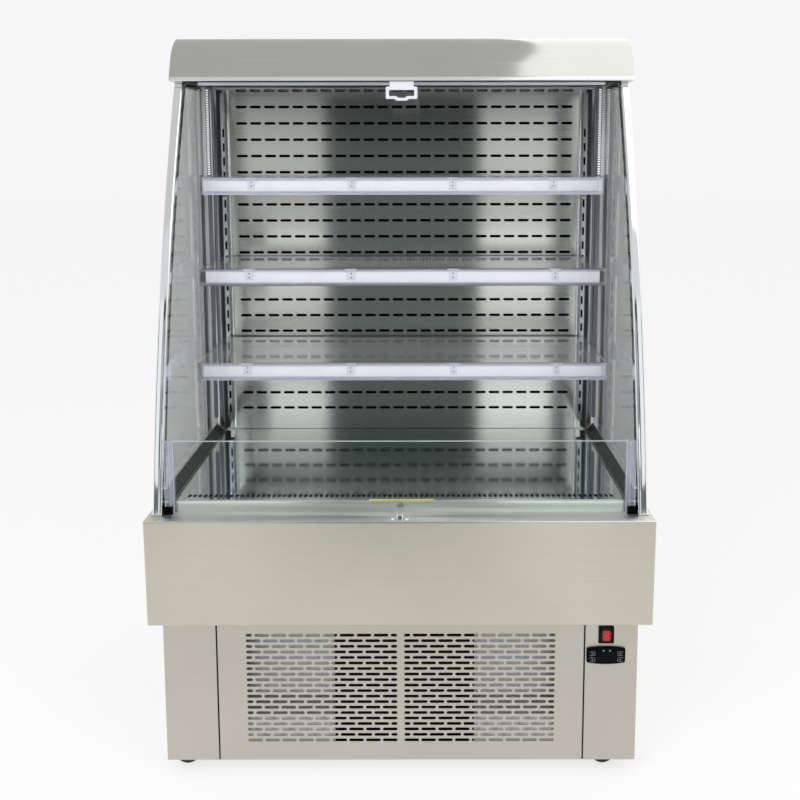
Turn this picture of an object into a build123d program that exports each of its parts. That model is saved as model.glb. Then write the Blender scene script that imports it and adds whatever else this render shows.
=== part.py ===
from build123d import *
import math
import os

# Open-front refrigerated deli case on casters, in millimetres.
#
# A machine cabinet carries an insulated tub. Two curved frames with side glass rise from the tub to a
# rounded canopy, and three shelves hang on slotted standards in front of a ducted back panel.
# Depths are measured back from the front face of the tub. The finished pieces are moved so that the
# origin is under the middle of the case, at floor level: +X to a customer's right, -Y towards them.

# Whole case
CASE_WIDTH = 1000.0
CASE_DEPTH = 700.0
CASE_HEIGHT = 1515.5
SHEET = 1.2
TUBE = 25.0
CLEARANCE = 0.3
RUNNING_GAP = 0.05
CUT = 1.0

# Tub
TUB_BOTTOM = 336.0
TUB_TOP = 551.0
TUB_SLANT = 7.0
TUB_EDGE_RADIUS = 2.0
TUB_FLOOR = 40.0
LIP_DEPTH = 60.0
LEDGE_RISE = 23.5
LEDGE_WALL = 6.0
WELL_WALL = 32.0

# Machine cabinet
CABINET_SIDE_INSET = 23.5
CABINET_SETBACK = 34.0
CABINET_BOTTOM = 35.0
CABINET_REAR_INSET = 10.0
CORNER_PANEL = 105.0
REAR_RETURN = 24.0
PANEL_SEAM = 3.0
PANEL_FOLD = 14.0

# Grille in the cabinet's front
SLOT_WIDTH = 30.0
SLOT_HEIGHT = 6.6
SLOT_PITCH = 34.25
SLOT_ROW_PITCH = 11.85
SLOT_ROWS = 20
SLOT_COLUMNS = 9
HALF_SLOT = 12.6
FIELD_GAP = 14.0
FIELD_RISE = 5.3

# Louvred panel in the cabinet's rear
LOUVRE_LENGTH = 240.0
LOUVRE_HEIGHT = 7.0
LOUVRE_PITCH = 20.0
LOUVRE_ROWS = 9
LOUVRE_GAP = 60.0

# Base frame
FRAME_FLOOR = 65.0
FRAME_INSET = 2.0

# Casters
WHEEL_RADIUS = 25.0
WHEEL_WIDTH = 22.0
CASTER_TRAIL = 14.0
CASTER_SIDE_INSET = 43.5
CASTER_INSET = 92.0
CASTER_PLATE = 60.0
PLATE_THICKNESS = 3.0
PLATE_CORNER = 6.0
FORK_SHEET = 2.5
FORK_GAP = 1.5
FORK_EYE = 9.0
FORK_HEAD = 34.0
AXLE_RADIUS = 4.0
SWIVEL_GAP = 1.0

# Curved side frames and side glass
FRAME_SIDE_INSET = 8.5
FRAME_FACE = 20.0
FRAME_DEPTH = 28.0
FRAME_BEVEL = 2.0
FRAME_FOOT = 39.0
FRAME_MIDDLE = 144.0
FRAME_MIDDLE_RISE = 399.0
FRAME_HEAD_SETBACK = 15.0
FOOT_PLATE = 3.0
FOOT_PROUD = 1.5
GLASS_PACK = 17.0
CHANNEL_WIDTH = 23.0
CHANNEL_HEIGHT = 25.0
CHANNEL_EDGE = 5.0
POST_DEPTH = 85.0
POST_LAP = 1.5
POST_FLANGE = 14.0
POST_FLANGE_DEPTH = 45.0
LED_WIDTH = 8.0
LED_DEPTH = 10.0
LED_RISE = 20.0
LED_DROP = 12.0
LED_BEVEL = 2.6

# Canopy
CANOPY_HEIGHT = 99.5
CANOPY_LIP = 336.0
CANOPY_LEAN = 25.5
CANOPY_RADIUS = 105.0
CANOPY_SHEET = 1.5
CANOPY_HEM = 9.0
CANOPY_REAR_FOLD = 36.0

# Back of the case
WALL_DEPTH = 55.0
DUCT_DEPTH = 25.0
ROOF_GAP = 3.0
ROOF_RISE = 8.0
BACK_PANEL_RISE = 4.0
BACK_PANEL_FOLD = 12.0

# Air outlet and lamp under the canopy
OUTLET_SETBACK = 106.0
OUTLET_DEPTH = 50.0
OUTLET_HEIGHT = 10.0
OUTLET_RIM = 6.0
OUTLET_CELLS = 18
OUTLET_WALL = 3.0
LAMP_SETBACK = 86.0
LAMP_DEPTH = 18.0
LAMP_HEIGHT = 14.0
LAMP_RISE = 2.0
LAMP_BEVEL = 4.5

# Deck and air return
DECK_SHEET = 1.5
RETURN_DEPTH = 38.0
RETURN_STEP = 4.0
RETURN_SEAT = 14.0
RETURN_SLOT_WIDTH = 6.0
RETURN_SLOT_LENGTH = 14.0
RETURN_PITCH = 10.9
RETURN_MARGIN = 8.0
DECK_INSET = 2.0

# Shelves, standards, brackets and price rails
STANDARD_SIDE_INSET = 32.0
STANDARD_WIDTH = 16.0
STANDARD_DEPTH = 13.0
STANDARD_SHEET = 1.5
STANDARD_RISE = 26.5
STANDARD_DROP = 11.0
STANDARD_SLOT_WIDTH = 3.6
STANDARD_SLOT_HEIGHT = 18.5
STANDARD_SLOT_DROP = 105.0
STANDARD_PITCH = 33.9
SHELVES = {"top": (375.0, 1210.0), "middle": (321.0, 1013.0), "bottom": (273.0, 813.0)}
SHELF_SIDE_GAP = 27.0
SHELF_REAR_GAP = 2.0
SHELF_REAR_FOLD = 15.0
BRACKET_SHEET = 3.0
BRACKET_SETBACK = 24.0
BRACKET_FRONT = 16.0
BRACKET_REAR = 52.0
HOOK_DROP = 6.0
HOOK_REACH = 5.0
HOOK_SLACK = 1.0
RAIL_SIDE_GAP = 24.0
RAIL_HEIGHT = 38.4
RAIL_SHEET = 1.8
RAIL_DEPTH = 7.0
CLIP_WIDTH = 26.0
CLIP_HEIGHT = 8.0
CLIP_DEPTH = 2.0
CLIP_PITCH = 223.0
CLIP_COUNT = 4

# Front riser
RISER_HEIGHT = 149.0
RISER_SETBACK = 10.5
RISER_GLASS = 5.0
RISER_POST_WIDTH = 19.0
RISER_POST_DEPTH = 14.0
RISER_GROOVE = 9.0

# Night curtain
CURTAIN_BAR_SIDE_GAP = 30.0
CURTAIN_BAR_DEPTH = 12.0
CURTAIN_BAR_HEIGHT = 11.0
CURTAIN_BAR_ROUND = 2.75
CURTAIN_BAR_SETBACK = 14.0
CURTAIN_BAR_DROP = 7.5
CURTAIN_END_Y = 38.0
CURTAIN_END_RISE = 16.0
ROLLER_RADIUS = 18.0
FABRIC_ROLL_RADIUS = 22.0
FABRIC_SIDE_GAP = 35.0
FABRIC_FREE = 55.0
FABRIC_THICKNESS = 0.6
FABRIC_START = 2.0
ROLLER_SIDE_GAP = 20.0
ROLLER_PIN = 5.0
ROLLER_PIN_REACH = 5.0
CASSETTE_GAP = 4.0
CASSETTE_SHEET = 1.5
CASSETTE_MOUTH = 110.0
CASSETTE_AIM = 220.0
HANDLE_WIDTH = 68.0
HANDLE_HEIGHT = 26.0
HANDLE_THICKNESS = 5.0
HANDLE_BAR = 7.0
HANDLE_SILL = 6.0
HANDLE_ROUND = 3.0
HANDLE_LAP = 1.0
HANDLE_STEP = 3.6
HANDLE_STEP_WIDTH = 30.0
HANDLE_PLATE_WIDTH = 52.0
CATCH_WIDTH = 12.0
CATCH_LENGTH = 30.0
CATCH_HEIGHT = 17.0
CATCH_SHEET = 2.0
CATCH_FRONT = 11.0
CATCH_NOSE = 4.0
BUMPER_RADIUS = 3.5
BUMPER_HEIGHT = 4.0
BUMPER_SPACING = 27.0
BUMPER_Y = 40.5

# Switch and temperature controller in the right corner panel
CONTROL_SIDE_INSET = 63.5
SWITCH_DROP = 31.5
SWITCH_WIDTH = 31.0
SWITCH_HEIGHT = 36.0
SWITCH_BEZEL = 3.0
SWITCH_CORNER = 1.5
SWITCH_BODY = 24.0
SWITCH_MARGIN = 4.0
ROCKER_WIDTH = 14.6
ROCKER_HEIGHT = 20.8
ROCKER_RISE = 6.4
ROCKER_PIVOT = 0.0
ROCKER_PIN = 1.5
ROCKER_PIN_REACH = 2.0
ROCKER_DISH = 1.6
ROCKER_TAPER = 1.5
ROCKER_ROOT = 5.0
ROCKER_TILT = 8.0
ROCKER_GAP = 0.35
CONTROLLER_DROP = 75.5
CONTROLLER_WIDTH = 78.0
CONTROLLER_HEIGHT = 39.0
CONTROLLER_BEZEL = 6.0
CONTROLLER_EDGE = 2.0
CONTROLLER_BODY_WIDTH = 71.0
CONTROLLER_BODY_HEIGHT = 29.0
CONTROLLER_BODY_DEPTH = 58.0
KEY_WIDTH = 12.0
KEY_HEIGHT = 10.0
KEY_SPREAD = 28.0
KEY_PITCH = 12.6
KEY_PROUD = 1.0
KEY_DEPTH = 3.0
KEY_POCKET = 4.0
KEY_CORNER = 1.0
KEY_GAP = 0.3

# Refrigeration unit
COIL_X = 7.0
COIL_WIDTH = 284.0
COIL_HEADROOM = 4.0
COIL_DEPTH = 44.0
COIL_FRONT = 62.0
COIL_PLATE = 2.0
COIL_PLATE_REACH = 8.0
COIL_PLATE_PROUD = 4.0
FAN_TIP_GAP = 6.0
FAN_MARGIN = 3.0
FAN_HUB = 30.0
FAN_DEPTH = 26.0
FAN_BLADES = 5
FAN_SHAFT = 4.0
BLADE_SHEET = 2.0
BLADE_ROOT_DEPTH = 5.0
BLADE_PITCH = 32.0
BLADE_SPREAD = 0.75
SHROUD_DEPTH = 44.0
SHROUD_SHEET = 1.5
MOTOR_RADIUS = 42.0
MOTOR_LENGTH = 62.0
STRUT_WIDTH = 14.0
STRUT_SHEET = 4.0
BAFFLE_INSET = 8.0
COMPRESSOR_RADIUS = 88.0
COMPRESSOR_HEIGHT = 190.0
COMPRESSOR_X = -170.0
COMPRESSOR_REAR_INSET = 230.0
COMPRESSOR_FOOT = 10.0
COMPRESSOR_DOME = 52.0
COMPRESSOR_BASE_WIDTH = 200.0
COMPRESSOR_BASE_DEPTH = 120.0
TERMINAL_SIZE = 60.0
TERMINAL_PROUD = 20.0
EVAPORATOR_WIDTH = 640.0
EVAPORATOR_HEADROOM = 48.5
EVAPORATOR_DEPTH = 90.0
EVAPORATOR_REAR_GAP = 135.0
EVAPORATOR_FAN_MARGIN = 7.0
EVAPORATOR_FAN_DEPTH = 18.0
EVAPORATOR_HUB = 21.0
EVAPORATOR_PLATE_GAP = 25.0
EVAPORATOR_FAN_GAP = 12.5
GLAND_RADIUS = 11.0
GLAND_STEM = 7.8
GLAND_BORE = 5.5
GLAND_LENGTH = 9.0
GLAND_SIDE_INSET = 146.5
GLAND_Z = 110.0

# Worked out from the sizes above
HALF_WIDTH = CASE_WIDTH / 2
LEDGE_TOP = TUB_TOP + LEDGE_RISE
CANOPY_TOP = CASE_HEIGHT
CANOPY_BOTTOM = CANOPY_TOP - CANOPY_HEIGHT
FRAME_OUT = HALF_WIDTH - FRAME_SIDE_INSET
FRAME_IN = FRAME_OUT - FRAME_FACE
FRAME_HEAD = CANOPY_LIP + FRAME_HEAD_SETBACK
FRAME_MIDDLE_Z = TUB_TOP + FRAME_MIDDLE_RISE
CHEEK_IN = FRAME_IN - POST_LAP
WELL_HALF = CHEEK_IN - WELL_WALL
CABINET_HALF = HALF_WIDTH - CABINET_SIDE_INSET
CABINET_REAR = CASE_DEPTH - CABINET_REAR_INSET
GLAND_X = CABINET_HALF - GLAND_SIDE_INSET
GRILLE_HALF = CABINET_HALF - CORNER_PANEL - PANEL_SEAM
FIELD_MIDDLE_Z = (CABINET_BOTTOM + TUB_BOTTOM) / 2 + FIELD_RISE
CASTER_X = CABINET_HALF - CASTER_SIDE_INSET
BACK_FOAM = CASE_DEPTH - WALL_DEPTH
BACK_PANEL = BACK_FOAM - DUCT_DEPTH
BACK_PANEL_TOP = CANOPY_BOTTOM + BACK_PANEL_RISE
POST_FRONT = BACK_FOAM - POST_DEPTH
OUTLET_FRONT = CANOPY_LIP + OUTLET_SETBACK
ROOF_FOAM = OUTLET_FRONT + OUTLET_DEPTH + ROOF_GAP
ROOF_FOAM_BOTTOM = CANOPY_BOTTOM + ROOF_RISE
LAMP_FRONT = CANOPY_LIP + LAMP_SETBACK
LAMP_BOTTOM = CANOPY_BOTTOM + LAMP_RISE
STANDARD_X = CHEEK_IN - STANDARD_SIDE_INSET
STANDARD_FRONT = BACK_PANEL - STANDARD_DEPTH
STANDARD_FOOT = LEDGE_TOP + STANDARD_RISE
STANDARD_TOP = CANOPY_BOTTOM - STANDARD_DROP
STANDARD_SLOT_TOP = CANOPY_BOTTOM - STANDARD_SLOT_DROP
STANDARD_SLOTS = math.ceil((STANDARD_SLOT_TOP - STANDARD_FOOT) / STANDARD_PITCH)
SHELF_HALF = CHEEK_IN - SHELF_SIDE_GAP
RAIL_HALF = CHEEK_IN - RAIL_SIDE_GAP
DECK_TOP = LEDGE_TOP + DECK_SHEET
RETURN_FRONT = LIP_DEPTH
RETURN_REAR = RETURN_FRONT + RETURN_DEPTH
RETURN_TOP = LEDGE_TOP + RETURN_STEP / 2
RETURN_SLOTS = 2 * math.floor((WELL_HALF - RETURN_MARGIN) / RETURN_PITCH) + 1
RISER_TOP = TUB_TOP + RISER_HEIGHT
RISER_FRONT = LIP_DEPTH - RISER_SETBACK
AXLE_Z = WHEEL_RADIUS
FORK_TOP = FRAME_FLOOR - PLATE_THICKNESS - SWIVEL_GAP
CURTAIN_BAR_HALF = CHEEK_IN - CURTAIN_BAR_SIDE_GAP
CURTAIN_BAR_Y = CANOPY_LIP + CURTAIN_BAR_SETBACK
CURTAIN_BAR_Z = CANOPY_BOTTOM - CURTAIN_BAR_DROP
CURTAIN_END_Z = RISER_TOP + CURTAIN_END_RISE
CURTAIN_TRAVEL = math.hypot(CURTAIN_BAR_Y - CURTAIN_END_Y, CURTAIN_BAR_Z - CURTAIN_END_Z)
CURTAIN_RUN_Y = (CURTAIN_BAR_Y - CURTAIN_END_Y) / CURTAIN_TRAVEL
CURTAIN_RUN_Z = (CURTAIN_BAR_Z - CURTAIN_END_Z) / CURTAIN_TRAVEL
FABRIC_HALF = CHEEK_IN - FABRIC_SIDE_GAP
ROLLER_HALF = CHEEK_IN - ROLLER_SIDE_GAP
ROLLER_Y = CURTAIN_BAR_Y + FABRIC_FREE * CURTAIN_RUN_Y + FABRIC_ROLL_RADIUS * CURTAIN_RUN_Z
ROLLER_Z = CURTAIN_BAR_Z + FABRIC_FREE * CURTAIN_RUN_Z - FABRIC_ROLL_RADIUS * CURTAIN_RUN_Y
CONTROL_X = CABINET_HALF - CONTROL_SIDE_INSET
SWITCH_Z = TUB_BOTTOM - SWITCH_DROP
CONTROLLER_Z = TUB_BOTTOM - CONTROLLER_DROP
COIL_FOOT = FRAME_FLOOR + TUBE
COIL_HEIGHT = TUB_BOTTOM - COIL_HEADROOM - COIL_FOOT - 2 * COIL_PLATE_REACH
COIL_Z = COIL_FOOT + COIL_PLATE_REACH + COIL_HEIGHT / 2
FAN_RADIUS = COIL_HEIGHT / 2 - FAN_MARGIN - FAN_TIP_GAP
FAN_Y = COIL_FRONT + COIL_DEPTH + SHROUD_DEPTH - FAN_DEPTH / 2
COMPRESSOR_Y = CASE_DEPTH - COMPRESSOR_REAR_INSET
EVAPORATOR_FLOOR = TUB_BOTTOM + TUB_FLOOR
EVAPORATOR_TOP = LEDGE_TOP - EVAPORATOR_HEADROOM
EVAPORATOR_FRONT = BACK_FOAM - EVAPORATOR_REAR_GAP - EVAPORATOR_DEPTH
EVAPORATOR_FAN_Y = EVAPORATOR_FRONT - EVAPORATOR_PLATE_GAP - EVAPORATOR_FAN_GAP
EVAPORATOR_FAN_Z = (EVAPORATOR_FLOOR + EVAPORATOR_TOP) / 2
EVAPORATOR_FAN_RADIUS = (EVAPORATOR_TOP - EVAPORATOR_FLOOR) / 2 - EVAPORATOR_FAN_MARGIN - FAN_TIP_GAP


# Shared shapes

def block(x0, x1, y0, y1, z0, z1):
    """A box between two corners."""
    centre = Pos((x0 + x1) / 2, (y0 + y1) / 2, (z0 + z1) / 2)
    return centre * Box(abs(x1 - x0), abs(y1 - y0), abs(z1 - z0))


def outline(points):
    """A flat face with straight edges."""
    return make_face(Polyline(*points, close=True))


def across(face, x0, x1):
    """A (depth, height) face carried from x0 to x1."""
    return Pos(x0, 0, 0) * extrude(Plane.YZ * face, x1 - x0)


def upright(face, z0, z1):
    """An (x, depth) face carried from z0 to z1."""
    return Pos(0, 0, z0) * extrude(face, z1 - z0)


def bent_strip(points, thickness):
    """The section of a sheet bent along the points, with its thickness on their left."""
    corners = [Vector(*point) for point in points]
    normals = []
    for start, end in zip(corners, corners[1:]):
        run = (end - start).normalized()
        normals.append(Vector(-run.Y, run.X))
    shifted = []
    for index, corner in enumerate(corners):
        before = normals[max(index - 1, 0)]
        after = normals[min(index, len(normals) - 1)]
        shifted.append(corner + (before + after) * (thickness / (1 + before.dot(after))))
    return outline([(p.X, p.Y) for p in corners] + [(p.X, p.Y) for p in reversed(shifted)])


def rod_x(radius, x0, x1, y, z):
    """A round bar along X."""
    return Pos((x0 + x1) / 2, y, z) * Rot(0, 90, 0) * Cylinder(radius, abs(x1 - x0))


def rod_y(radius, x, y0, y1, z):
    """A round bar along Y."""
    return Pos(x, (y0 + y1) / 2, z) * Rot(90, 0, 0) * Cylinder(radius, abs(y1 - y0))


def rod_z(radius, x, y, z0, z1):
    """An upright round bar."""
    return Pos(x, y, (z0 + z1) / 2) * Cylinder(radius, abs(z1 - z0))


def both_sides(solid):
    """A right-hand piece and its mirror image."""
    return [solid, mirror(solid, Plane.YZ)]


# Tub

def tub_body():
    """Insulated tub with a slanted front, a flat lip and a raised ledge round the open well."""
    section = outline([(0, TUB_TOP), (TUB_SLANT, TUB_BOTTOM),
                       (CASE_DEPTH, TUB_BOTTOM), (CASE_DEPTH, TUB_TOP)])
    shell = across(section, -HALF_WIDTH, HALF_WIDTH)
    shell = fillet(shell.faces().sort_by(Axis.Y)[0].edges(), TUB_EDGE_RADIUS)
    shell += block(-CHEEK_IN, CHEEK_IN, LIP_DEPTH, BACK_FOAM, TUB_TOP, LEDGE_TOP)
    shell -= block(-WELL_HALF, WELL_HALF, LIP_DEPTH + LEDGE_WALL, BACK_FOAM,
                   EVAPORATOR_FLOOR, LEDGE_TOP)
    return shell


def air_return_grille():
    """Folded strip of slots behind the lip, with a step that carries the front of the deck."""
    top, rear = RETURN_TOP, RETURN_REAR
    fold = [(RETURN_FRONT, LEDGE_TOP), (rear - SHEET, LEDGE_TOP)]
    strip = bent_strip(fold, top - LEDGE_TOP)
    seat = LEDGE_TOP - DECK_SHEET
    strip += outline([(rear - SHEET, seat), (rear + RETURN_SEAT, seat), (rear + RETURN_SEAT, LEDGE_TOP),
                      (rear, LEDGE_TOP), (rear, top), (rear - SHEET, top)])
    strip = across(strip, -WELL_HALF - LEDGE_WALL, WELL_HALF + LEDGE_WALL)
    strip -= block(-CHEEK_IN, -WELL_HALF, RETURN_FRONT, rear + RETURN_SEAT, 0, LEDGE_TOP)
    strip -= block(WELL_HALF, CHEEK_IN, RETURN_FRONT, rear + RETURN_SEAT, 0, LEDGE_TOP)
    middle = (RETURN_FRONT + rear) / 2
    slot = Box(RETURN_SLOT_WIDTH, RETURN_SLOT_LENGTH, TUBE)
    return strip - Pos(0, middle, top) * GridLocations(RETURN_PITCH, 1, RETURN_SLOTS, 1) * slot


def deck_pan():
    """Flat deck that lifts out, with edges turned down inside the well."""
    half = CHEEK_IN - CHANNEL_WIDTH
    front, rear = RETURN_REAR + CLEARANCE, BACK_PANEL - CLEARANCE
    pan = block(-half, half, front, rear, LEDGE_TOP, DECK_TOP)
    rim_half, rim_front = WELL_HALF - DECK_INSET, front + RETURN_SEAT + DECK_INSET
    rim = outline([(-rim_half, rim_front), (rim_half, rim_front), (rim_half, rear), (-rim_half, rear)])
    turned = upright(rim - offset(rim, -DECK_SHEET), LEDGE_TOP - TUBE / 2, LEDGE_TOP)
    return pan + turned


# Machine cabinet

def side_panel():
    """Right-hand side skin, folded round both corners."""
    edge = CABINET_HALF
    line = [(edge - CORNER_PANEL, CABINET_SETBACK), (edge, CABINET_SETBACK),
            (edge, CABINET_REAR), (edge - REAR_RETURN, CABINET_REAR)]
    return upright(bent_strip(line, SHEET), CABINET_BOTTOM, TUB_BOTTOM)


def control_cutouts():
    """Holes in the right corner panel for the switch and the controller."""
    reach = TUBE / 2
    switch = Pos(CONTROL_X, CABINET_SETBACK, SWITCH_Z) * Box(
        SWITCH_WIDTH - SWITCH_MARGIN, reach, SWITCH_HEIGHT - SWITCH_MARGIN)
    controller = Pos(CONTROL_X, CABINET_SETBACK, CONTROLLER_Z) * Box(
        CONTROLLER_BODY_WIDTH, reach, CONTROLLER_BODY_HEIGHT)
    return switch + controller


def front_grille():
    """Removable front panel with two fields of staggered slots."""
    line = [(-GRILLE_HALF, CABINET_SETBACK + PANEL_FOLD), (-GRILLE_HALF, CABINET_SETBACK),
            (GRILLE_HALF, CABINET_SETBACK), (GRILLE_HALF, CABINET_SETBACK + PANEL_FOLD)]
    panel = upright(bent_strip(line, SHEET), CABINET_BOTTOM, TUB_BOTTOM)
    field_width = (SLOT_COLUMNS - 1) * SLOT_PITCH + SLOT_WIDTH
    slots = []
    for side in (-1, 1):
        middle = side * (FIELD_GAP + field_width) / 2
        for row in range(SLOT_ROWS):
            z = FIELD_MIDDLE_Z + (row - (SLOT_ROWS - 1) / 2) * SLOT_ROW_PITCH
            for x, width in slot_row(row % 2 == 0, field_width):
                slots.append(Pos(middle + x, CABINET_SETBACK, z) * Box(width, PANEL_FOLD, SLOT_HEIGHT))
    return panel - slots


def slot_row(whole, field_width):
    """Middles and widths of one row: nine whole slots, or eight between two short ones."""
    if whole:
        return [((i - (SLOT_COLUMNS - 1) / 2) * SLOT_PITCH, SLOT_WIDTH) for i in range(SLOT_COLUMNS)]
    inner = [((i - (SLOT_COLUMNS - 2) / 2) * SLOT_PITCH, SLOT_WIDTH) for i in range(SLOT_COLUMNS - 1)]
    end = (field_width - HALF_SLOT) / 2
    return inner + [(-end, HALF_SLOT), (end, HALF_SLOT)]


def rear_grille():
    """Rear cabinet panel with two columns of vents and a hole for the cable gland."""
    half = CABINET_HALF - REAR_RETURN - PANEL_SEAM
    line = [(half, CABINET_REAR - PANEL_FOLD), (half, CABINET_REAR),
            (-half, CABINET_REAR), (-half, CABINET_REAR - PANEL_FOLD)]
    panel = upright(bent_strip(line, SHEET), CABINET_BOTTOM, TUB_BOTTOM)
    vent = Box(LOUVRE_LENGTH, TUBE / 2, LOUVRE_HEIGHT)
    vents = GridLocations(LOUVRE_LENGTH + LOUVRE_GAP, LOUVRE_PITCH, 2, LOUVRE_ROWS)
    middle_z = (CABINET_BOTTOM + TUB_BOTTOM) / 2
    panel -= [Pos(0, CABINET_REAR, middle_z) * Pos(spot.position.X, 0, spot.position.Y) * vent
              for spot in vents]
    return panel - rod_y(GLAND_STEM + CLEARANCE, GLAND_X, CABINET_REAR - TUBE, CABINET_REAR + CUT, GLAND_Z)


def cable_gland():
    """Hexagonal gland with a clamping neck, where the supply cable enters."""
    nut = extrude(Plane.XZ * RegularPolygon(GLAND_RADIUS, 6), GLAND_LENGTH)
    nut = Pos(GLAND_X, CABINET_REAR + GLAND_LENGTH, GLAND_Z) * nut
    stem = rod_y(GLAND_STEM, GLAND_X, CABINET_REAR - TUBE / 2, CABINET_REAR, GLAND_Z)
    bore = rod_y(GLAND_BORE, GLAND_X, CABINET_REAR - TUBE, CABINET_REAR + TUBE, GLAND_Z)
    return nut + stem - bore


def base_frame():
    """Welded square tube: a ring of rails, four uprights and a floor sheet."""
    x1 = CABINET_HALF - SHEET
    y0, y1 = CABINET_SETBACK + PANEL_FOLD + FRAME_INSET, CABINET_REAR - PANEL_FOLD - FRAME_INSET
    z0, z1 = FRAME_FLOOR, FRAME_FLOOR + TUBE
    frame = block(-x1, x1, y0, y1, z0, z0 + SHEET)
    for y in (y0, y1 - TUBE):
        frame += block(-x1, x1, y, y + TUBE, z0, z1)
    for side in (-1, 1):
        frame += block(side * (x1 - TUBE), side * x1, y0, y1, z0, z1)
        for y in (y0, y1 - TUBE):
            frame += block(side * (x1 - TUBE), side * x1, y, y + TUBE, z0, TUB_BOTTOM)
    return frame


# Casters

def caster_spots():
    """Swivel centres of the four casters: front left, front right, rear left, rear right."""
    return [(x, y) for y in (CASTER_INSET, CASE_DEPTH - CASTER_INSET) for x in (-CASTER_X, CASTER_X)]


def caster_plate(x, y):
    """Top plate with cut corners and a hole for the swivel pin."""
    plate = Pos(x, y, FRAME_FLOOR - PLATE_THICKNESS / 2) * Box(CASTER_PLATE, CASTER_PLATE, PLATE_THICKNESS)
    plate = chamfer(plate.edges().filter_by(Axis.Z), PLATE_CORNER)
    return plate - rod_z(AXLE_RADIUS + RUNNING_GAP, x, y, 0, FRAME_FLOOR)


def caster_fork(x, y):
    """Pressed fork with a swivel pin above and an axle between its legs."""
    wheel_x = x - CASTER_TRAIL
    half = WHEEL_WIDTH / 2 + FORK_GAP + FORK_SHEET
    under_crown = FORK_TOP - FORK_SHEET
    leg = outline([(wheel_x - FORK_EYE, AXLE_Z), (wheel_x, AXLE_Z - FORK_EYE), (wheel_x + FORK_EYE, AXLE_Z),
                   (x + FORK_HEAD / 2, FORK_TOP), (x - FORK_HEAD / 2, FORK_TOP)])
    legs = Pos(0, y + half, 0) * extrude(Plane.XZ * leg, 2 * half)
    legs -= block(x - CASTER_PLATE, x + CASTER_PLATE, y - half + FORK_SHEET, y + half - FORK_SHEET,
                  0, under_crown)
    pin = rod_z(AXLE_RADIUS, x, y, under_crown, FRAME_FLOOR - CLEARANCE)
    axle = rod_y(AXLE_RADIUS, wheel_x, y - half, y + half, AXLE_Z)
    return legs + pin + axle


def caster_wheel(x, y):
    """Solid tyre that turns on the axle."""
    wheel = rod_y(WHEEL_RADIUS, x - CASTER_TRAIL, y - WHEEL_WIDTH / 2, y + WHEEL_WIDTH / 2, AXLE_Z)
    return wheel - rod_y(AXLE_RADIUS + RUNNING_GAP, x - CASTER_TRAIL, y - WHEEL_WIDTH,
                         y + WHEEL_WIDTH, AXLE_Z)


# Sides

def frame_edge(setback):
    """The curve that the side frame follows, from the tub to the canopy."""
    return ThreePointArc((FRAME_FOOT + setback, TUB_TOP), (FRAME_MIDDLE + setback, FRAME_MIDDLE_Z),
                         (FRAME_HEAD + setback, CANOPY_BOTTOM))


def side_frame():
    """Right-hand polished tube, curved to the canopy, and the cap that it stands in."""
    front, rear = frame_edge(0), frame_edge(FRAME_DEPTH)
    face = make_face([front, Line(front @ 1, rear @ 1), rear, Line(rear @ 0, front @ 0)])
    tube = across(face, FRAME_IN, FRAME_OUT)
    long_edges = tube.edges().filter_by(lambda edge: edge.length > CANOPY_BOTTOM - TUB_TOP)
    tube = chamfer(long_edges.sort_by(Axis.Y)[0:2], FRAME_BEVEL)
    tube -= block(0, CASE_DEPTH, 0, CASE_DEPTH, 0, TUB_TOP + FOOT_PLATE)
    foot = block(FRAME_IN, FRAME_OUT + FOOT_PROUD, FRAME_FOOT - FOOT_PROUD,
                 FRAME_FOOT + FRAME_DEPTH - CLEARANCE, TUB_TOP, TUB_TOP + FOOT_PLATE)
    return [tube, foot]


def side_glass():
    """Right-hand double-glazed pane behind the curved frame."""
    rear = frame_edge(FRAME_DEPTH)
    border = Polyline(rear @ 1, (POST_FRONT, CANOPY_BOTTOM), (POST_FRONT, TUB_TOP), rear @ 0)
    inset = (FRAME_FACE - GLASS_PACK) / 2
    return across(make_face([rear, border]), FRAME_IN + inset, FRAME_OUT - inset)


def glass_channel():
    """Sloping trim along the foot of the right-hand glass."""
    x0, x1 = CHEEK_IN - CHANNEL_WIDTH, CHEEK_IN
    z0, z1 = LEDGE_TOP, LEDGE_TOP + CHANNEL_HEIGHT
    section = outline([(x0, z0), (x1, z0), (x1, z1), (x1 - CHANNEL_EDGE, z1), (x0, z0 + CHANNEL_EDGE)])
    start, end = FRAME_FOOT + FRAME_DEPTH, BACK_FOAM - POST_FLANGE_DEPTH
    return Pos(0, end, 0) * extrude(Plane.XZ * section, end - start)


def rear_post():
    """Right-hand rear post with a flange for the standards and the back panel."""
    post = block(CHEEK_IN, FRAME_OUT, POST_FRONT, BACK_FOAM, TUB_TOP, CANOPY_BOTTOM)
    flange = block(CHEEK_IN - POST_FLANGE, CHEEK_IN, BACK_FOAM - POST_FLANGE_DEPTH, BACK_FOAM,
                   LEDGE_TOP, CANOPY_BOTTOM)
    return post + flange


def led_strip():
    """Right-hand upright light strip on the post's inner face."""
    bottom = LEDGE_TOP + CHANNEL_HEIGHT + LED_RISE
    strip = block(CHEEK_IN - LED_WIDTH, CHEEK_IN, POST_FRONT, POST_FRONT + LED_DEPTH,
                  bottom, CANOPY_BOTTOM - LED_DROP)
    inner = strip.edges().filter_by(Axis.Z).sort_by(Axis.X)[0:2]
    return chamfer(inner, LED_BEVEL)


# Back and canopy

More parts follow.
